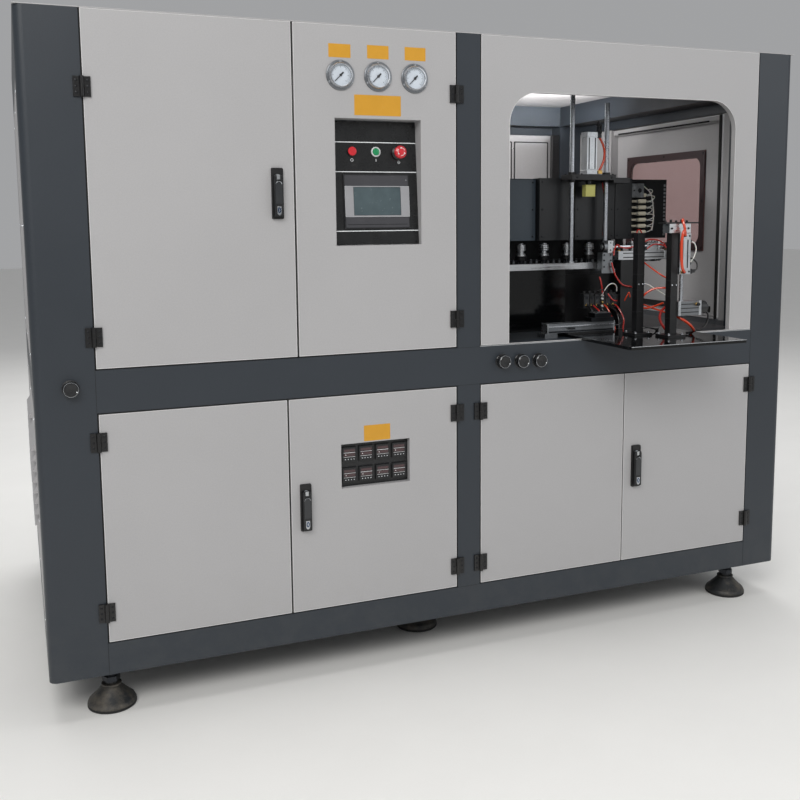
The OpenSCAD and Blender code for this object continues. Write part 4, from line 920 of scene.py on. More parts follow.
b.box(LF(743, 1076, 1325.0), -330, 330, -12, 12, 0.02, 10, 2, r=1)
b.make()
b = B("side_door_latch", "side_door", black_m, chrome_m)
b.prism(RT(385, 1450, 1327.0), rrect(30, 110, 6, 4), 0.02, 8, 0, 2)
b.prism(RT(385, 1462, 1327.0), rrect(20, 60, 6, 4), 7.9, 11.5, 1, 1.2)
b.make()

# back wall, roof
b = B("back_screws", "cabinet", screw_m, mark_k, rubber_m, black_pl, zinc_m)
for x0, x1 in ((-1086, -64), (94, 946), (971, 1150)):
    for i in ((0, 1, 2, 3, 4) if x1 - x0 > 300 else (0, 4)):
        x = x0 + 18 + (x1 - x0 - 36) * i / 4
        for z in (1120, 1811):
            b.cross(BK(x, z, 1486.0), 4.4, 2.4, 0, 1)
    for z in (1290, 1465, 1640):
        for x in (x0 + 18, x1 - 18):
            b.cross(BK(x, z, 1486.0), 4.4, 2.4, 0, 1)
    Mh = BK((x0 + x1) / 2, 1465, 1486.0)
    for k in ((-260, 260) if x1 - x0 > 300 else (0,)):
        b.frame(BK((x0 + x1) / 2 + k, 1465, 1486.0), rrect(130, 36, 10, 4), rrect(108, 20, 6, 4), 0.02, 5, 3)
for x0, x1 in ((-1159, -30), (53, 1173)):
    for i in range(5):
        x = x0 + 22 + (x1 - x0 - 44) * i / 4
        for z in (245, 897):
            b.cross(BK(x, z, 1486.0), 4.4, 2.4, 0, 1)
    for r in range(9):
        for k in (-1, 1):
            M = BK((x0 + x1) / 2 + k * 240, 470 + r * 26, 1486.0)
            b.prism(M, rrect(300, 9, 4, 3), 0.02, 0.4, 1, 0.0)
            b.box(M, -148, 148, 2.0, 5.5, 0.1, 6.5, 4, r=1.2)
for i, x in enumerate((-1000, -940, -890)):
    M = BK(x, 300, 1486.0)
    b.hexagon(M, 15, 0.02, 7, 3, 1)
    b.lathe(M, [(11, 7), (11, 14), (8.4, 18), (6.2, 19), (6.2, 20)], 20, 3)
b.make()
b = B("roof_screws", "cabinet", screw_m, mark_k, rubber_m)
for i in range(9):
    x = -1280 + 2560 * i / 8
    for y in (60, 1440):
        b.cross(UP(x, y, 2043.0), 4.6, 2.6, 0, 1)
for j in range(4):
    y = 340 + 260 * j
    for x in (-1280, 1280):
        b.cross(UP(x, y, 2043.0), 4.6, 2.6, 0, 1)
b.box(UP(0, 750, 2043.0), -0.8, 0.8, -735, 735, 0.02, 0.5, 2, r=0.2)
b.make()

# feet: rubber pad, collar, thread
b = B("foot_details", "cabinet", rubber_m, iron_m, dark_steel_m)
for x, y in ((-1150, 85), (1165, 85), (-70, 260), (-1150, 1415), (1165, 1415), (-70, 1240)):
    M = UP(x, y, 0)
    b.lathe(M, [(70.5, 0.5), (72.6, 2.0), (72.6, 8.0), (71.5, 10)], 48, 0, cap=False)
    b.lathe(M, [(20.1, 69.5), (29.0, 69.0), (30.0, 67.5), (30.0, 64), (28.6, 62.4), (20.1, 62.2)][::-1], 32, 1, cap=False)
    for k in range(9):
        b.torus(M, 20.05, 0.7, 28, 5, 2, 95 + k * 2.4)
b.make()

# ------------------------------------------------------------------ table and posts
b = B("table_fixings", "cabinet", black_screw_m, screw_m, steel_m, black_m)
for px, py in ((662, -15), (731, -109)):
    for sx in (-1, 1):
        for sy in (-1, 1):
            b.cyl(UP(px + sx * 27, py + sy * 27, 1058), 6.2, 0.02, 0.8, 16, 1)
            b.socket(UP(px + sx * 27, py + sy * 27, 1058.8), 4.6, 5.0, 1)
    b.box(UP(px, py, 1404), -14.3, 14.3, -14.3, 14.3, 0.02, 0.4, 3, r=0.1)
    for sx in (-9, 8):
        b.socket(FR(px + sx, 1228, py - 14), 2.6, 2.0, 1)
for x in (470, 560, 860):
    for y in (-40, 40, 130):
        b.lathe(UP(x, y, 1050), [(5.2, 0.02), (5.0, 0.4), (2.6, 0.5), (2.4, 0.1), (0.01, 0.1)], 14, 0)
for x in (460, 880):
    for y in (-265, -200):
        b.lathe(UP(x, y, 1050), [(4.4, 0.02), (4.2, 0.4), (2.2, 0.5), (2.0, 0.1), (0.01, 0.1)], 14, 0)
# thin bright steel line along the table's front edge: painted highlight on the edge, drawn as bare steel
b.tube([(445.5, -292.1, 1050.0), (899.5, -292.1, 1050.0)], 1.0, 6, 1, 1)
b.make()


# ------------------------------------------------------------------ air cylinders
def end_cap(b, x0, x1, y0, y1, z0, z1, mi):
    b.box(WORLD, x0, x1, y0, y1, z0, z1, mi, r=1.4)


def fitting(b, x, y, z, d, mi=0, metal_i=1, length=14):
    """Push-in fitting standing out along d ('+x', '-y', ...)."""
    ax = {"+x": (0, 1, 0, 0, 0, 1, 1, 0, 0), "-x": (0, -1, 0, 0, 0, 1, -1, 0, 0), "+y": (-1, 0, 0, 0, 0, 1, 0, 1, 0), "-y": (1, 0, 0, 0, 0, 1, 0, -1, 0),
          "+z": (1, 0, 0, 0, 1, 0, 0, 0, 1), "-z": (1, 0, 0, 0, -1, 0, 0, 0, -1)}[d]
    M = frame_at(x, y, z, ax[0:3], ax[3:6], ax[6:9])
    b.hexagon(M, 6.6, -0.5, 4.0, metal_i, 0.5)
    b.lathe(M, [(5.6, 4.0), (5.8, 5.0), (5.8, length - 2.5), (5.0, length), (3.4, length)], 16, mi)
    b.ring(M, 3.3, 5.2, length, length + 1.6, 16, mi)
    return b


def grooves_z(b, x, y, z0, z1, d, mi):
    """Sensor grooves along z on a face that looks along d."""
    for k in (-1, 1):
        if d == "-y":
            b.box(WORLD, x + k * 12 - 2.6, x + k * 12 + 2.6, y - 0.35, y - 0.02, z0, z1, mi, r=0.1)
        else:
            b.box(WORLD, x + 0.02, x + 0.35, y + k * 12 - 2.6, y + k * 12 + 2.6, z0, z1, mi, r=0.1)


b = B("cylinder_details", "cabinet", alu_mill, black_pl, mark_k, black_screw_m, brass_m, screw_m, light_pl, orange_h, dark_pl, dark_steel_m)
# press cylinder on the bridge
end_cap(b, 632.5, 678.5, 278.5, 321.5, 1617.6, 1636, 0)
end_cap(b, 632.5, 678.5, 278.5, 321.5, 1754, 1773.5, 0)
for k in (-13, 0, 13):
    b.box(FR(655.5 + k, 1695, 280), -2.4, 2.4, -57, 57, 0.02, 0.4, 2 if k else 0, r=0.1)
    b.box(RT(300 + k, 1695, 677), -2.4, 2.4, -57, 57, 0.02, 0.4, 2 if k else 0, r=0.1)
for sx in (-16, 16):
    for sy in (-16, 16):
        b.socket(UP(655.5 + sx, 300 + sy, 1773.5), 3.6, 2.2, 3)
b.box(WORLD, 678.6, 704, 290, 309, 1752, 1769, 1, r=3)
b.cyl(UP(693, 300, 1769), 8.5, 0, 15, 20, 1, 1.0)
b.cyl(UP(693, 300, 1784), 6, 0, 12, 20, 9, 1.2)
b.cyl(UP(693, 300, 1796), 9.5, 0, 8, 20, 1, 1.6)
b.cyl(UP(693, 300, 1804), 5, 0, 11, 14, 1, 1.0)
b.cyl(UP(705, 300, 1769), 4.0, 0, 34, 12, 1, 1.0)
fitting(b, 678.5, 297, 1628, "+x", 1, 4)
b.box(WORLD, 686, 704, 284, 294, 1620, 1634, 4, r=1)
b.cyl(UP(655, 300, 1596.9), 12.5, -9.0, -0.02, 24, 1, 0.8)
# lift cylinder on the right post
end_cap(b, 747.95, 792.3, -129.2, -89.8, 1264, 1283, 0)
end_cap(b, 747.95, 792.3, -129.2, -89.8, 1384, 1403.3, 0)
for k in (-10, 10):
    b.box(FR(769.5 + k, 1333, -128), -2.4, 2.4, -48, 48, 0.02, 0.4, 2, r=0.1)
    b.box(RT(-110 + k, 1333, 791), -2.4, 2.4, -48, 48, 0.02, 0.4, 2, r=0.1)
for sx in (-16, 16):
    for zz in (1273, 1394):
        b.socket(FR(769.5 + sx, zz, -129.2), 3.2, 1.6, 3)
fitting(b, 758, -129.2, 1396, "-y", 1, 4, 12)
fitting(b, 758, -129.2, 1272, "-y", 1, 4, 12)
fitting(b, 792.3, -110, 1376, "+x", 1, 4, 12)
fitting(b, 792.3, -110, 1300, "+x", 1, 4, 12)
b.box(WORLD, 792.4, 812, -121, -101, 1264.2, 1281, 1, r=4)
b.cyl(RT(-112, 1273, 812), 6, 0, 10, 14, 1, 1)
for sx in (712, 780):
    b.socket(FR(sx, 1420, -128), 3.6, 2.4, 3)
for k in range(5):
    b.cyl(UP(700 + 22 * k, -108, 1441), 4.2, 0.02, 6 + (k % 2) * 3, 12, 1, 0.8)
# transfer cylinder
end_cap(b, 750, 770, 236.6, 273.4, 1299.6, 1333.8, 0)
end_cap(b, 957, 977, 236.6, 273.4, 1299.6, 1333.8, 0)
for k in (-8, 8):
    b.box(FR(863, 1316.5 + k, 238), -92, 92, -1.8, 1.8, 0.02, 0.4, 2, r=0.1)
b.box(UP(863, 255, 1333), -92, 92, -2.2, 2.2, 0.02, 0.3, 2, r=0.1)
fitting(b, 757, 246, 1333.8, "+z", 1, 4, 12)
fitting(b, 968, 246, 1333.8, "+z", 1, 4, 12)
for zz in (1306, 1327):
    for yy in (243, 267):
        b.socket(RT(yy, zz, 977), 3.2, 1.6, 3)
        b.socket(LF(yy, zz, 750), 3.2, 1.6, 3)
# valve block
for k in range(6):
    x = 616 + k * 23.5
    b.box(FR(x, 1150, 244), -10.2, 10.2, -25, 24, 0.02, 4.0, 1 if k % 2 else 8, r=0.8)
    b.box(FR(x, 1163, 240), -5, 5, -5, 5, 0.02, 2.2, 9, r=0.4)
    fitting(b, x, 240, 1134, "-y", 1, 4, 9)
    b.cyl(UP(x, 260, 1178), 6.0, 0.02, 9, 14, 1, 0.8)
for z in (1130, 1145, 1158, 1170):
    b.cyl(FR(680, z, 239.5), 4.2, 0.02, 9, 12, 6 if z != 1145 else 4, 0.8)
# slide: end plates, rails, cover strip
b.box(WORLD, 368, 371.5, 98, 142, 1054, 1090.5, 0, r=0.8)
b.box(WORLD, 639.5, 646, 98, 142, 1054, 1091, 0, r=0.8)
for zz in (1062, 1082):
    for yy in (105, 135):
        b.socket(RT(yy, zz, 646), 2.8, 1.4, 3)
        b.socket(LF(yy, zz, 368), 2.8, 1.4, 3)
b.box(UP(505, 120, 1089), -132, 132, -6.5, 6.5, 0.02, 0.35, 9, r=0.1)
b.box(WORLD, 373, 638, 97.6, 99.9, 1077, 1081, 5, r=0.3)
b.box(WORLD, 373, 638, 97.9, 99.9, 1058, 1063, 9, r=0.3)
b.box(WORLD, 452, 477, 92.5, 98, 1067, 1074, 2, r=0.6)
fitting(b, 646, 120, 1072, "+x", 1, 4, 12)
for y in (103, 137):
    b.socket(UP(361, y, 1055.5), 2.8, 1.6, 3)
# clamp and blow cylinders behind the doors
for y0, y1 in ((150.5, 176), (304, 330.5), (869.5, 896), (1024, 1049.5)):
    b.box(WORLD, -645, -515, y0, y1, 1220, 1350, 0, r=3)
for y in (151, 1024):
    for sx in (-52, 52):
        for sz in (-52, 52):
            b.tube([(-580 + sx, y + 12, 1285 + sz), (-580 + sx, y + (170 if y < 500 else -150), 1285 + sz)], 5, 10, 5, 1)
for y, d in ((163, 1), (317, 1), (883, 1), (1036, 1)):
    fitting(b, -600, y, 1350, "+z", 1, 4, 16)
for x in (-730, -430):
    b.cyl(UP(x, 600, 1790), 33, -0.5, 12, 28, 0, 1.2)
    b.cyl(UP(x, 600, 1640.5), 34, 0, 14, 28, 0, 1.2)
    fitting(b, x, 600, 1802, "+z", 1, 4, 16)
    b.hexagon(UP(x, 600, 1802), 12, 0.0, 5, 5)
b.make()
b = B("stretch_mast", "blow_head", alu_mill, black_pl, mark_k, black_screw_m, brass_m)
b.box(WORLD, -602, -558, 650.5, 694, 1862, 1882, 0, r=1.4)
b.box(FR(-580, 1690, 652), -3, 3, -165, 165, 0.02, 0.35, 2, r=0.1)
for z in (1530, 1600, 1760, 1830):
    b.socket(BK(-580, z, 692), 4.2, 3.0, 3)
fitting(b, -580, 672, 1882, "+z", 1, 4, 16)
b.make()

b = B("rod_ends", "lift_rod", black_pl, alu_mill, mark_k, brass_m, black_screw_m)
b.box(WORLD, 745.8, 756, -131.2, -88.8, 1120.8, 1172.0, 1, r=1.0)
b.box(WORLD, 831, 842, -131.2, -88.8, 1120.8, 1172.0, 1, r=1.0)
for k in (-14, 0, 14):
    b.box(FR(793.5, 1147 + k, -130), -37, 37, -1.6, 1.6, 0.02, 0.4, 2, r=0.1)
for sz in (-18, 18):
    for sy in (-14, 14):
        b.socket(RT(-110 + sy, 1147 + sz, 842), 3.2, 1.6, 4)
b.ring(RT(-110, 1147, 842), 20.2, 21.6, 0, 27, 28, 0)
b.cyl(RT(-110, 1147, 870), 15, 0.02, 8, 24, 0, 2)
b.cyl(UP(856, -110, 1162), 7, 0, 8.5, 16, 0, 1)
fitting(b, 822, -131.2, 1160, "-y", 0, 3, 10)
b.cyl(UP(769.5, -110, 1171), 10.5, 0.02, 1.6, 20, 1, 0.4)
b.make()
b = B("press_pad_screws", "press_pad", screw_m, pad_pl, steel_m, dark_steel_m)
b.box(WORLD, 633.6, 677.4, 286.8, 313.2, 1578.2, 1580.2, 1, r=0.8)
b.cyl(UP(655, 300, 1580.3), 11.5, 0, 7, 20, 3, 0.8)
b.frame(FR(655.5, 1558, 288), rrect(40.6, 41.6, 1.0, 3), rrect(38.4, 39.4, 1.0, 3), 0.02, 0.6, 1)
b.make()
b = B("transfer_tip", "transfer_rod", black_m, alu_mill, black_screw_m, red_h)
b.ring(LF(251, 1350, 686), 11.5, 19.3, 0.02, 2.0, 36, 0)
b.cyl(LF(251, 1350, 686), 8.5, 0.02, 3.0, 24, 1, 0.8)
b.ring(LF(251, 1350, 689), 0.01, 4.2, 0.0, 0.3, 20, 0)
for sx in (890, 915):
    b.socket(FR(sx, 1355, 240), 2.8, 1.8, 2)
    b.socket(UP(sx, 253, 1362), 3.0, 2.0, 2)
b.make()
b = B("carriage_plate", "slide_carriage", dark_steel_m, black_screw_m, block_m)
b.box(WORLD, 563, 627, 101, 139, 1118.1, 1121.5, 2, r=0.8)
for sx in (-24, 24):
    for sy in (-14, 14):
        b.socket(UP(595 + sx, 120 + sy, 1121.5), 3.2, 2.4, 1)
for sx in (-42, 42):
    b.socket(UP(592.5 + sx, 120, 1104), 3.2, 1.8, 1)
b.make()

# ------------------------------------------------------------------ bridge, rods, rails
b = B("bridge_details", "cabinet", black_m, black_screw_m, alu_mill, screw_m)
for x in (582, 731):
    b.ring(UP(x, 300, 1617), 9.3, 15, 0.02, 9, 28, 0)
    b.ring(DN(x, 300, 1597), 9.3, 14, 0.02, 8, 28, 0)
    b.socket(FR(x, 1606, 262), 3.2, 2.4, 1)
    b.ring(UP(x, 300, 1291), 9.3, 13, 0.02, 5, 28, 2)
    b.lathe(DN(x, 300, 1268), [(9, 0.02), (9, 3), (6, 4)], 20, 1) if x < 600 else None
for x in (572, 606, 704, 741):
    for y in (272, 328):
        b.socket(UP(x, y, 1617), 3.6, 3.4, 1)
b.box(WORLD, 740, 812, 262.4, 338, 1586, 1606, 0, r=0.8)
for x in (80, 200, 330, 460):
    b.socket(UP(x, 300, 1291), 3.4, 2.0, 1)
for z in (1276, 1300, 1320):
    b.socket(FR(686, z, 236), 3.0, 2.2, 1)
    b.socket(FR(715, z, 236), 3.0, 2.2, 1)
b.ring(LF(251, 1350, 699.5), 6.3, 10, 0.02, 0.8, 28, 1)
for z in (1338, 1365):
    b.socket(FR(711, z, 232), 2.4, 1.6, 1)
for x in (90, 260, 420):
    b.lathe(UP(x, 11, 1042.5), [(3.6, 0.02), (3.4, 0.5), (0.01, 0.7)], 12, 3)
for x in (950, 1050, 1150):
    b.lathe(UP(x, 11, 1042.5), [(3.6, 0.02), (3.4, 0.5), (0.01, 0.7)], 12, 3)
b.make()

# ------------------------------------------------------------------ oven
b = B("oven_details", "cabinet", oven_m, black_screw_m, screw_m, ceramic_m, galv_m, oven_blue_m, mark_k, zinc_m)
for x0, x1, y in ((60, 467, 366), (470, 620, 341), (623, 798, 341), (801, 877, 341)):
    z1 = 1604 if y == 366 else 1606
    for x in (x0 + 12, x1 - 12):
        for z in (1390, 1490, z1 - 14):
            b.cross(FR(x, z, y), 3.4, 1.8, 1, 6)
    b.box(FR((x0 + x1) / 2, z1 - 3, y), -(x1 - x0) / 2 + 2, (x1 - x0) / 2 - 2, -1.0, 1.0, 0.02, 0.5, 6, r=0.1)
for k in range(7):
    z = 1398 + 25 * k
    for x in (10.2, 1046):
        b.box(WORLD, x - 6, x + 6, 523.2, 539.8, z - 8, z + 8, 4, r=0.8)
    b.cyl(RT(515, z, 1063), 4.0, 0.0, 8, 12, 7, 0.6)
    b.ring(RT(515, z, 1018), 5.2, 7.0, 0.0, 5, 16, 7)
b.box(WORLD, 985, 1044, 498, 505, 1538, 1594, 4, r=1)
b.box(WORLD, 985, 1044, 505, 539.5, 1586, 1594, 4, r=1)
b.lathe(FR(1024, 1566, 498), [(9, 0.02), (9, 0.4), (0.01, 0.5)], 20, 6)
b.cross(FR(996, 1566, 498), 3.0, 1.6, 1, 6)
for k in range(14):
    z = 1386 + k * 15.5
    b.box(FR(1176, z, 540), -5, 5, -4.4, 4.4, 0.02, 0.6, 7, r=0.2)
for k in range(6):
    x = 900 + 45 * k
    b.cross(FR(x, 1600, 540), 3.4, 1.8, 1, 6)
for k in range(40):
    x = 0 + 30 * k
    b.box(UP(x, 570, 1612), -2.5, 2.5, -20, 20, 0.02, 0.5, 6, r=0.1)
b.make()
b = B("lamp_wires", "cabinet", white_h, black_h)
for k in range(7):
    z = 1398 + 25 * k
    q = 5 * (k % 3)
    b.tube([(1071, 515, z), (1080 + q, 512, z + 3), (1088 + q, 506, z + 10), (1086 + q, 500, z + 19), (1076, 502, z + 23), (1070, 511, z + 21)], 1.6, 8, 0, 6)
b.tube([(1092, 507, 1404), (1100, 509, 1450), (1098, 511, 1510), (1084, 510, 1556), (1050, 505, 1582)], 2.2, 8, 0, 6)
b.tube([(1096, 509, 1404), (1108, 511, 1456), (1104, 513, 1520), (1088, 512, 1568), (1050, 508, 1590)], 2.0, 8, 1, 6)
b.make()

# ------------------------------------------------------------------ chain with carriers
SX0, SX1, SY, SR = -60.0, 1040.0, 550.0, 100.0
LOOP = 2 * (SX1 - SX0) + 2 * math.pi * SR


def track(s):
    l, h = SX1 - SX0, math.pi * SR
    s %= LOOP
    if s < l:
        return SX0 + s, SY - SR, 0.0
    if s < l + h:
        a = (s - l) / SR
        return SX1 + SR * math.sin(a), SY - SR * math.cos(a), a
    if s < 2 * l + h:
        return SX1 - (s - l - h), SY + SR, math.pi
    a = (s - 2 * l - h) / SR
    return SX0 - SR * math.sin(a), SY + SR * math.cos(a), math.pi + a


b = B("roller_chain", "cabinet", dark_steel_m, steel_m)
links = 112
pitch = LOOP / links
for i in range(links):
    x, y, a = track((i + 0.5) * pitch)
    ca, sa = math.cos(a), math.sin(a)
    h = pitch / 2
    out = []
    for k in range(9):
        t = math.pi * k / 8 - math.pi / 2
        out.append((h + 6.2 * math.cos(t), 6.2 * math.sin(t)))
    for k in range(9):
        t = math.pi * k / 8 + math.pi / 2
        out.append((-h + 6.2 * math.cos(t), 6.2 * math.sin(t)))
    out = [(px, py * (0.8 if abs(px) < h * 0.6 else 1.0)) for px, py in out]
    d = 0.0 if i % 2 else 1.6
    for z0 in (1283.0, 1296.0):
        M = frame_at(x, y, z0, (ca, sa, 0), (-sa, ca, 0), (0, 0, 1))
        b.prism(M, out, -0.4 + d * (-1 if z0 < 1290 else 1) * 0.9, 1.4 + d * (-1 if z0 < 1290 else 1) * 0.9, 0)
    px, py, _ = track(i * pitch)
    b.cyl(UP(px, py, 0), 2.6, 1280.8, 1300.6, 10, 1, 0.5)
    b.cyl(UP(px, py, 0), 5.0, 1285.6, 1294.8, 12, 1, 0.3)
chain = b.make()
b = B("preform_carriers", "cabinet", black_m, head_m, dark_steel_m, chrome_m)
for i in range(28):
    x, y, a = track(LOOP / 28 * i + 7)
    M = UP(x, y, 0)
    b.lathe(M, [(17, 1298.2), (22, 1299), (22, 1303), (20.5, 1304.5), (20.5, 1309), (22, 1310.5), (22, 1313.4), (18, 1314.2)], 28, 0)
    b.lathe(M, [(11, 1281.4), (11, 1298)], 16, 2)
    for k in range(4):
        g = math.pi / 4 + k * math.pi / 2
        b.socket(UP(x + 18.6 * math.cos(g), y + 18.6 * math.sin(g), 1313.6), 1.5, 1.0, 1)
    b.torus(M, 19.3, 1.0, 28, 6, 2, 1342.5)
    b.torus(M, 13.4, 0.9, 24, 6, 3, 1329.5)
    b.lathe(M, [(12.2, 1349.2), (17.0, 1349.8), (18.0, 1351.0), (18.0, 1356.5), (16.8, 1358.0), (10.2, 1358.6)], 28, 1)
b.make()
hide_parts("conveyor_chain")

# ------------------------------------------------------------------ hoses between fixed fittings
b = B("air_hoses", "cabinet", orange_h, red_h, black_h, white_h, blue_h, black_pl)
# loop at the press cylinder
b.tube([(692, 297, 1760), (704, 296, 1744), (717, 295, 1712), (717, 295, 1676), (706, 296, 1648), (695, 297, 1629)], 4.4, 12, 0, 8)
# red hose hanging behind the right guide rod
b.tube([(742, 345, 1590), (752, 342, 1550), (757, 340, 1500), (754, 338, 1440), (750, 338, 1392)], 5.0, 10, 1, 8)
# lift cylinder: thick orange hose on its left, pale loop on its right
b.tube([(758, -141, 1396), (750, -148, 1412), (742, -150, 1404), (737, -150, 1370), (738, -150, 1320), (742, -150, 1288), (758, -141, 1272)], 5.0, 12, 0, 8)
b.tube([(758, -141, 1396), (750, -146, 1424), (748, -138, 1446), (760, -125, 1450)], 4.6, 10, 0, 8)
b.tube([(804, -110, 1376), (820, -111, 1368), (827, -112, 1348), (820, -112, 1324), (808, -112, 1308), (804, -110, 1300)], 2.1, 10, 3, 8)
b.tube([(822, -112, 1273), (832, -113, 1283), (830, -113, 1300), (818, -112, 1312), (806, -111, 1318)], 2.4, 10, 2, 8)
# transfer cylinder
b.tube([(757, 246, 1346), (752, 243, 1356), (738, 238, 1352), (726, 230, 1336), (720, 224, 1318)], 2.6, 10, 1, 8)
b.tube([(968, 246, 1346), (955, 243, 1360), (920, 236, 1372), (880, 230, 1374), (850, 228, 1362), (812, 228, 1350), (778, 230, 1344), (757, 244, 1350)], 2.6, 10, 1, 8)
b.tube([(872, 232, 1340), (900, 226, 1356), (940, 226, 1352), (966, 230, 1338)], 2.4, 10, 1, 8)
b.tube([(820, 232, 1350), (828, 236, 1400), (842, 240, 1412), (858, 244, 1394), (862, 240, 1350)], 2.4, 10, 1, 8)
b.tube([(714, 228, 1292), (720, 225, 1266), (734, 224, 1236), (762, 226, 1208), (800, 230, 1199), (812, 238, 1196)], 3.0, 10, 1, 8)
# valve block bundle
for k in range(6):
    x = 616 + k * 23.5
    c = [2, 1, 2, 0, 2, 1][k]
    dz = 12 * math.sin(k * 1.9)
    b.tube([(x, 231, 1134), (x + 2, 216, 1126), (x + 7, 200, 1106 + dz * 0.6), (x + 12, 190, 1082 + dz * 0.4), (x + 20 - 3 * k, 180, 1064 + dz * 0.2), (x + 30 - 7 * k, 170, 1046.5)], 2.8, 10, c, 7)
b.tube([(676, 231, 1170), (682, 222, 1190), (696, 220, 1208), (716, 222, 1214), (736, 228, 1204), (744, 236, 1184)], 2.0, 10, 3, 8)
b.tube([(664, 231, 1240), (670, 230, 1222), (676, 232, 1200), (680, 232, 1172)], 2.8, 10, 1, 8)
b.tube([(702, 232, 1176), (712, 226, 1160), (724, 224, 1150), (740, 228, 1148)], 2.6, 10, 1, 8)
b.tube([(758, 205, 1150), (764, 200, 1166), (774, 200, 1180), (782, 205, 1162)], 2.4, 10, 0, 8)
b.tube([(640, 231, 1170), (650, 215, 1190), (664, 206, 1192), (676, 212, 1178)], 2.2, 10, 2, 8)
# between the posts, down to the table
b.tube([(756, -85, 1214), (737, -55, 1214), (712, -36, 1210), (688, -26, 1196), (676, -14, 1176), (684, 0, 1150), (706, 0, 1140), (732, -10, 1146), (750, -40, 1160)], 3.6, 10, 0, 8)
b.tube([(675, 2, 1318), (692, 6, 1306), (716, 2, 1288), (738, -30, 1262), (752, -84, 1238)], 2.8, 10, 0, 8)
b.tube([(676, 6, 1206), (694, 14, 1222), (716, 12, 1224), (736, -10, 1208), (742, -60, 1190)], 2.0, 10, 3, 8)
b.tube([(676, 10, 1170), (690, 16, 1156), (712, 16, 1150), (732, 0, 1140), (746, -60, 1128)], 3.0, 10, 0, 8)
b.tube([(750, -60, 1150), (742, -44, 1134), (737, -40, 1112), (742, -40, 1092), (756, -44, 1070), (768, -50, 1054)], 4.6, 10, 1, 8)
b.tube([(752, -88, 1128), (764, -112, 1114), (784, -124, 1100), (804, -126, 1084), (822, -116, 1070), (842, -90, 1060), (846, -70, 1054)], 4.8, 12, 0, 8)
b.tube([(872, -112, 1136), (884, -114, 1118), (880, -114, 1092), (862, -110, 1072), (838, -100, 1062), (822, -84, 1056)], 3.2, 10, 2, 8)
b.tube([(658, 120, 1072), (676, 122, 1072), (694, 130, 1082), (706, 155, 1098), (706, 190, 1116), (706, 231, 1132)], 2.6, 10, 2, 8)
b.tube([(700, 60, 1056), (716, 40, 1064), (740, 30, 1066), (770, 40, 1060), (800, 60, 1054)], 3.0, 10, 2, 8)
for x, y, z in ((768, -50, 1052), (846, -70, 1052), (822, -84, 1053), (700, 60, 1052), (800, 60, 1052)):
    b.cyl(UP(x, y, z - 1.9), 6.4, 0, 8, 14, 5, 1)
# black cable ties on the posts
for z in (1130, 1206, 1260, 1330):
    b.box(UP(662, -15, z), -14.7, 14.7, -14.7, 14.7, 0, 3.0, 5, r=0.6)
for z in (1112, 1188, 1242):
    b.box(UP(731, -109, z), -14.7, 14.7, -14.7, 14.7, 0, 3.0, 5, r=0.6)
# clamp hoses behind the doors
b.tube([(-600, 163, 1366), (-600, 165, 1400), (-640, 180, 1430), (-720, 190, 1440), (-800, 190, 1400), (-830, 190, 1300), (-835, 190, 1150), (-835, 190, 1046)], 7.0, 12, 2, 8)
b.tube([(-600, 317, 1366), (-602, 318, 1396), (-660, 300, 1420), (-760, 260, 1420), (-830, 240, 1380), (-850, 230, 1240), (-852, 228, 1046)], 7.0, 12, 2, 8)
b.tube([(-600, 883, 1366), (-605, 884, 1400), (-680, 900, 1440), (-800, 900, 1420), (-850, 890, 1300), (-855, 880, 1046)], 7.0, 12, 2, 8)
b.tube([(-730, 600, 1818), (-735, 600, 1850), (-790, 610, 1862), (-850, 640, 1820), (-870, 680, 1600), (-872, 700, 1300), (-872, 700, 1046)], 5.0, 10, 4, 8)
b.tube([(-430, 600, 1818), (-430, 605, 1850), (-390, 640, 1860), (-340, 700, 1820), (-300, 740, 1600), (-290, 760, 1300), (-290, 760, 1046)], 5.0, 10, 4, 8)
b.make()

# ------------------------------------------------------------------ clamp, blow head and mould details
b = B("clamp_nuts", "cabinet", steel_m, black_screw_m, zinc_m)
for x in (-750, -410):
    for z in (1120, 1450):
        b.hexagon(FR(x, z, 120), 30, 0.02, 26, 0, 2)
        b.hexagon(BK(x, z, 1080), 30, 0.02, 26, 0, 2)
for x in (-780, -380):
    for y in (200, 600, 1000):
        b.hexagon(UP(x, y, 1068), 13, 0.02, 10, 2, 1)
for x in (-787, -373):
    for y in (164, 1036):
        b.hexagon(UP(x, y, 1640), 20, 0.02, 14, 0, 1.5)
b.make()
for n, s in (("front_platen", 1), ("rear_platen", -1)):
    b = B(f"{n}_fixings", n, black_screw_m, brass_m, steel_m)
    yb = 420 if s > 0 else 780
    for x in (-730, -430):
        for z in (1180, 1285, 1390):
            M = (BK if s > 0 else FR)(x, z, yb)
            b.socket(M, 7, 7, 0)
    for k in range(4):
        z = 1170 + 70 * k
        M = RT(470 if s > 0 else 730, z, -455)
        b.hexagon(M, 7, 0.02, 8, 1)
        b.cyl(M, 5, 8, 22, 14, 1, 0.8)
    b.make()
b = B("blow_nozzles", "blow_head", steel_m, black_screw_m, chrome_m, brass_m)
for x in (-640, -520):
    b.lathe(UP(x, 600, 0), [(6.3, 1438.5), (15, 1438.5), (20, 1443), (23, 1446), (23, 1451.5)], 28, 0, cap=False)
    b.ring(UP(x, 600, 1512), 6.4, 17, 0.02, 7, 28, 0)
for x in (-750, -410):
    for y in (570, 630):
        b.socket(UP(x, y, 1512), 5, 5, 1)
for x in (-690, -470):
    b.hexagon(FR(x, 1482, 555), 8, 0.02, 8, 3)
    b.cyl(FR(x, 1482, 555), 5.5, 8, 20, 14, 3, 0.8)
b.make()
b = B("stretch_collars", "stretch_rods", steel_m, black_screw_m)
for x in (-640, -520):
    b.ring(DN(x, 600, 1840), 6.2, 13, 0.02, 12, 24, 0)
    b.hexagon(UP(x, 600, 1860), 10, 0.02, 8, 0)
b.make()

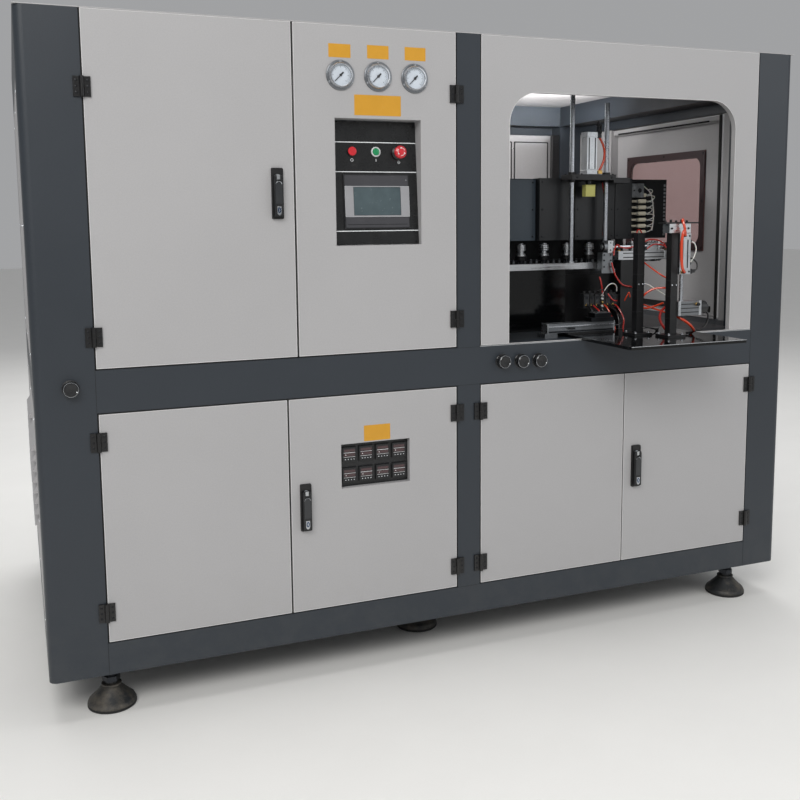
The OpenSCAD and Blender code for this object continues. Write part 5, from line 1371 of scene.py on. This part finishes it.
# ------------------------------------------------------------------ lower cabinet
b = B("switchgear_details", "cabinet", black_pl, screw_m, mark_k, light_pl, grey_pl, green_pl, red_h, blue_h, white_h, black_h, brass_m)
for i in range(4):
    cx = -990 + i * 130
    M = FR(cx, 770, 560)
    b.box(M, -46, 46, -66, 66, 0.02, 3, 0, r=1.5)
    b.box(M, -22, 22, -12, 12, 3, 7, 4, r=1.5)
    for k in range(5):
        for q in (-56, 56):
            b.cross(FR(cx - 32 + 16 * k, 770 + q, 557), 3.4, 1.6, 1, 2)
M = FR(-370, 755, 570)
b.box(M, -104, 104, -88, 88, 0.02, 3, 0, r=2)
b.box(M, -70, 40, 10, 60, 3, 4.5, 4, r=1)
for k in range(8):
    b.lathe(FR(-430 + 12 * k, 740, 567), [(1.8, 0.02), (1.4, 1.2), (0.01, 1.4)], 8, 5)
for k in range(14):
    b.cross(FR(-462 + 14 * k, 680, 567), 3.0, 1.5, 1, 2)
for i in range(9):
    cx = -1014 + i * 62
    M = FR(cx, 545, 575)
    b.box(M, -23, 23, -30, 34, 0.02, 4, 4 if i % 3 else 0, r=1)
    b.box(M, -6, 6, -4, 18, 4, 12, 0, r=1)
    for k in (-14, 0, 14):
        b.cross(FR(cx + k, 584, 575), 3.0, 1.5, 1, 2)
        b.cross(FR(cx + k, 506, 575), 3.0, 1.5, 1, 2)
for k in range(52):
    b.box(FR(-1032 + 15 * k, 355, 600), -6.4, 6.4, -40, 40, 0.02, 2.2, 3 if k % 7 else 5, r=0.5)
    b.cross(FR(-1032 + 15 * k, 380, 597.8), 2.6, 1.2, 1, 2)
    b.cross(FR(-1032 + 15 * k, 330, 597.8), 2.6, 1.2, 1, 2)
for k in range(26):
    x = -1020 + 30 * k
    c = (6, 7, 8, 9)[k % 4]
    b.tube([(x, 598, 392), (x + 1, 592, 410), (x + 3, 596, 432), (x + 2, 606, 446)], 1.9, 6, c, 4)
    b.tube([(x, 598, 318), (x - 1, 590, 304), (x - 2, 596, 288), (x - 2, 612, 276)], 1.9, 6, c, 4)
for z in (455, 645):
    b.box(WORLD, -1060, -500, 600, 639.5, z - 16, z + 16, 4, r=1.5)
    for k in range(37):
        b.box(FR(-1052 + 15 * k, z, 600), -1.6, 1.6, -12, 12, 0.02, 0.4, 2, r=0.1)
for k in range(18):
    x = -1030 + 28 * k
    c = (6, 9, 7, 8)[k % 4]
    b.tube([(x, 572, 590), (x, 566, 604), (x + 2, 580, 620), (x + 3, 602, 632)], 1.8, 6, c, 4)
    b.tube([(x, 572, 500), (x, 564, 488), (x - 2, 580, 478), (x - 2, 602, 468)], 1.8, 6, c, 4)
b.make()
b = B("drive_and_tank_details", "cabinet", unit_m, screw_m, black_pl, tank_m, brass_m, chrome_m, black_h, dial_m, mark_k)
for k in range(20):
    a = 2 * math.pi * k / 20
    b.box(frame_at(830, 550, 915, (1, 0, 0), (0, -math.sin(a), math.cos(a)), (0, math.cos(a), math.sin(a))), -110, 110, -1.6, 1.6, 64.5, 73, 0, r=0.6)
b.cyl(LF(550, 915, 700), 62, 0, 34, 36, 0, 5)
for k in range(10):
    b.ring(LF(550, 915, 734.2), 6 + 5.4 * k, 8 + 5.4 * k, 0.0, 0.8, 32, 8)
b.box(WORLD, 780, 880, 520, 580, 985, 1012, 2, r=4)
for sx in (-58, 58):
    for sz in (-68, 68):
        b.hexagon(FR(1040 + sx, 920 + sz, 480), 8, 0.02, 7, 1)
b.lathe(FR(1040, 900, 480), [(34, 0.02), (34, 6), (28, 8), (0.01, 8.2)], 32, 0)
for x in (158, 942):
    b.torus(RT(950, 440, x), 150.5, 2.2, 64, 6, 3)
for s, x in ((-1, 150), (1, 950)):
    M = (LF if s < 0 else RT)(950, 440, x)
    b.lathe(M, [(149, 0.02), (140, 16), (110, 34), (60, 46), (16, 50)], 48, 3)
M = UP(550, 950, 589.5)
b.hexagon(M, 16, 0, 14, 4)
b.cyl(M, 9, 14, 40, 16, 4, 1)
b.cyl(FR(550, 640, 944), 24, 0, 16, 28, 5, 1.5)
b.cyl(FR(550, 640, 928), 21, 0.02, 0.5, 28, 7, 0.1)
b.box(FR(550, 640, 927.4), -1, 1, -2, 15, 0, 0.5, 8, r=0.1)
b.tube([(300, 950, 590), (300, 945, 640), (260, 900, 700), (180, 800, 760), (120, 600, 800), (100, 400, 900), (98, 300, 1000), (98, 298, 1032)], 9, 12, 6, 8)
b.make()

# ------------------------------------------------------------------ inside of the window: rear cover edges, right corner
b = B("chamber_details", "cabinet", rubber_m, screw_m, mark_k, inner_dark_m, white_pl, black_m, panel_m)
for x0, x1 in ((-1086, -64), (94, 946), (971, 1150)):
    b.frame(FR((x0 + x1) / 2, 1465.5, 1466), rrect(x1 - x0 + 14, 737, 4, 2), rrect(x1 - x0 + 4, 727, 4, 2), -2.0, 1.0, 0)
for x in (64, 84, 958.5):
    for z in (1100, 1400, 1800):
        b.cross(FR(x, z, 1466), 3.6, 2.0, 1, 2)
# black box at the rear right corner, drawn as a cable duct: painted shade of the dark gap in that corner
b.box(WORLD, 1130, 1172, 1381, 1399, 1046, 1862, 5, r=2)
for k in range(52):
    b.box(FR(1151, 1056 + 15.4 * k, 1381), -16, 16, -1.6, 1.6, 0.02, 0.5, 2, r=0.1)
b.make()


# ------------------------------------------------------------------ stage, camera, light
def stage_material():
    m = Mat("stage_floor")
    n = m.noise(3.0, 4.0, 0.6)
    g = m.noise(180.0, 2.0)
    m.set(col=m.value(lin("#eeedea"), m.math("ADD", m.ramp(n, 0.3, 0.7, 0.985, 1.01), m.ramp(g, 0.3, 0.7, -0.008, 0.008))), rough=0.55)
    m.bump(g, 0.05, 0.0005)
    return m.m


me = bpy.data.meshes.new("floor")
R = 30.0
me.from_pydata([(-R, -R, 0), (R, -R, 0), (R, R, 0), (-R, R, 0)], [], [(0, 1, 2, 3)])
me.materials.append(stage_material())
floor = bpy.data.objects.new("floor", me)
bpy.context.scene.collection.objects.link(floor)

cam_d = bpy.data.cameras.new("camera")
cam = bpy.data.objects.new("camera", cam_d)
bpy.context.scene.collection.objects.link(cam)
pitch, yaw, roll = math.radians(-7.09836), math.radians(21.51898), math.radians(-0.53507)
fwd = Vector((math.sin(yaw) * math.cos(pitch), math.cos(yaw) * math.cos(pitch), math.sin(pitch)))
right = Vector((math.cos(yaw), -math.sin(yaw), 0))
up = right.cross(fwd)
r2 = right * math.cos(roll) + up * math.sin(roll)
u2 = -right * math.sin(roll) + up * math.cos(roll)
m = Matrix.Identity(4)
for i, v in enumerate((r2, u2, -fwd)):
    for r in range(3):
        m[r][i] = v[r]
m.translation = Vector((-1.35509, -3.46487, 1.46056))
cam.matrix_world = m
cam_d.sensor_width = 36.0
cam_d.lens = 43.761
cam_d.shift_y = -0.075
cam_d.clip_start, cam_d.clip_end = 0.05, 200
bpy.context.scene.camera = cam


def area(name, loc, target, size, power, col=(1, 1, 1)):
    d = bpy.data.lights.new(name, "AREA")
    d.shape = "RECTANGLE"
    d.size, d.size_y = size
    d.energy = power
    d.color = col
    o = bpy.data.objects.new(name, d)
    o.location = loc
    o.rotation_mode = "QUATERNION"
    o.rotation_quaternion = (Vector(target) - Vector(loc)).to_track_quat("-Z", "Y")
    bpy.context.scene.collection.objects.link(o)
    return o


area("key", (-3.2, -5.5, 5.2), (0, -0.4, 1.0), (4.5, 3.0), 300, (1.0, 0.99, 0.97))
area("fill", (4.5, -4.5, 3.2), (0.3, -0.3, 1.0), (3.5, 3.5), 55, (0.96, 0.98, 1.0))
area("top", (0, 0.3, 6.0), (0, 0, 0), (6, 4), 160)
area("back", (1.5, 5.5, 4.0), (0, 0.5, 1.0), (5, 3), 120)
area("strip_light", (0.55, 0.35, 1.93), (0.8, 0.6, 0.9), (0.8, 0.2), 4.5, (1.0, 0.98, 0.97))
area("ceiling_bounce", (0.84, 0.34, 1.86), (0.90, 0.50, 2.05), (0.45, 0.3), 2.6, (1.0, 0.98, 0.97))
area("rear_rail_light", (0.98, 0.38, 1.93), (1.02, 0.78, 1.96), (0.45, 0.05), 0.5, (0.95, 0.98, 1.0))
bpy.data.lights["rear_rail_light"].spread = 0.7
area("head_light", (0.35, -0.53, 1.93), (0.38, -0.25, 1.34), (0.6, 0.06), 1.4, (1.0, 0.99, 0.98))
bpy.data.lights["head_light"].spread = 1.3
area("strip_light_left", (-0.6, 0.4, 1.985), (-0.6, 0.35, 0), (0.9, 0.25), 7, (1.0, 0.99, 0.97))
w = bpy.data.worlds.new("studio")
bpy.context.scene.world = w
w.use_nodes = True
w.node_tree.nodes["Background"].inputs[0].default_value = (0.93, 0.94, 0.96, 1)
w.node_tree.nodes["Background"].inputs[1].default_value = 0.38
bpy.context.scene.view_settings.view_transform = "Standard"
bpy.context.scene.view_settings.look = "None"
bpy.context.scene.view_settings.exposure = 0.0
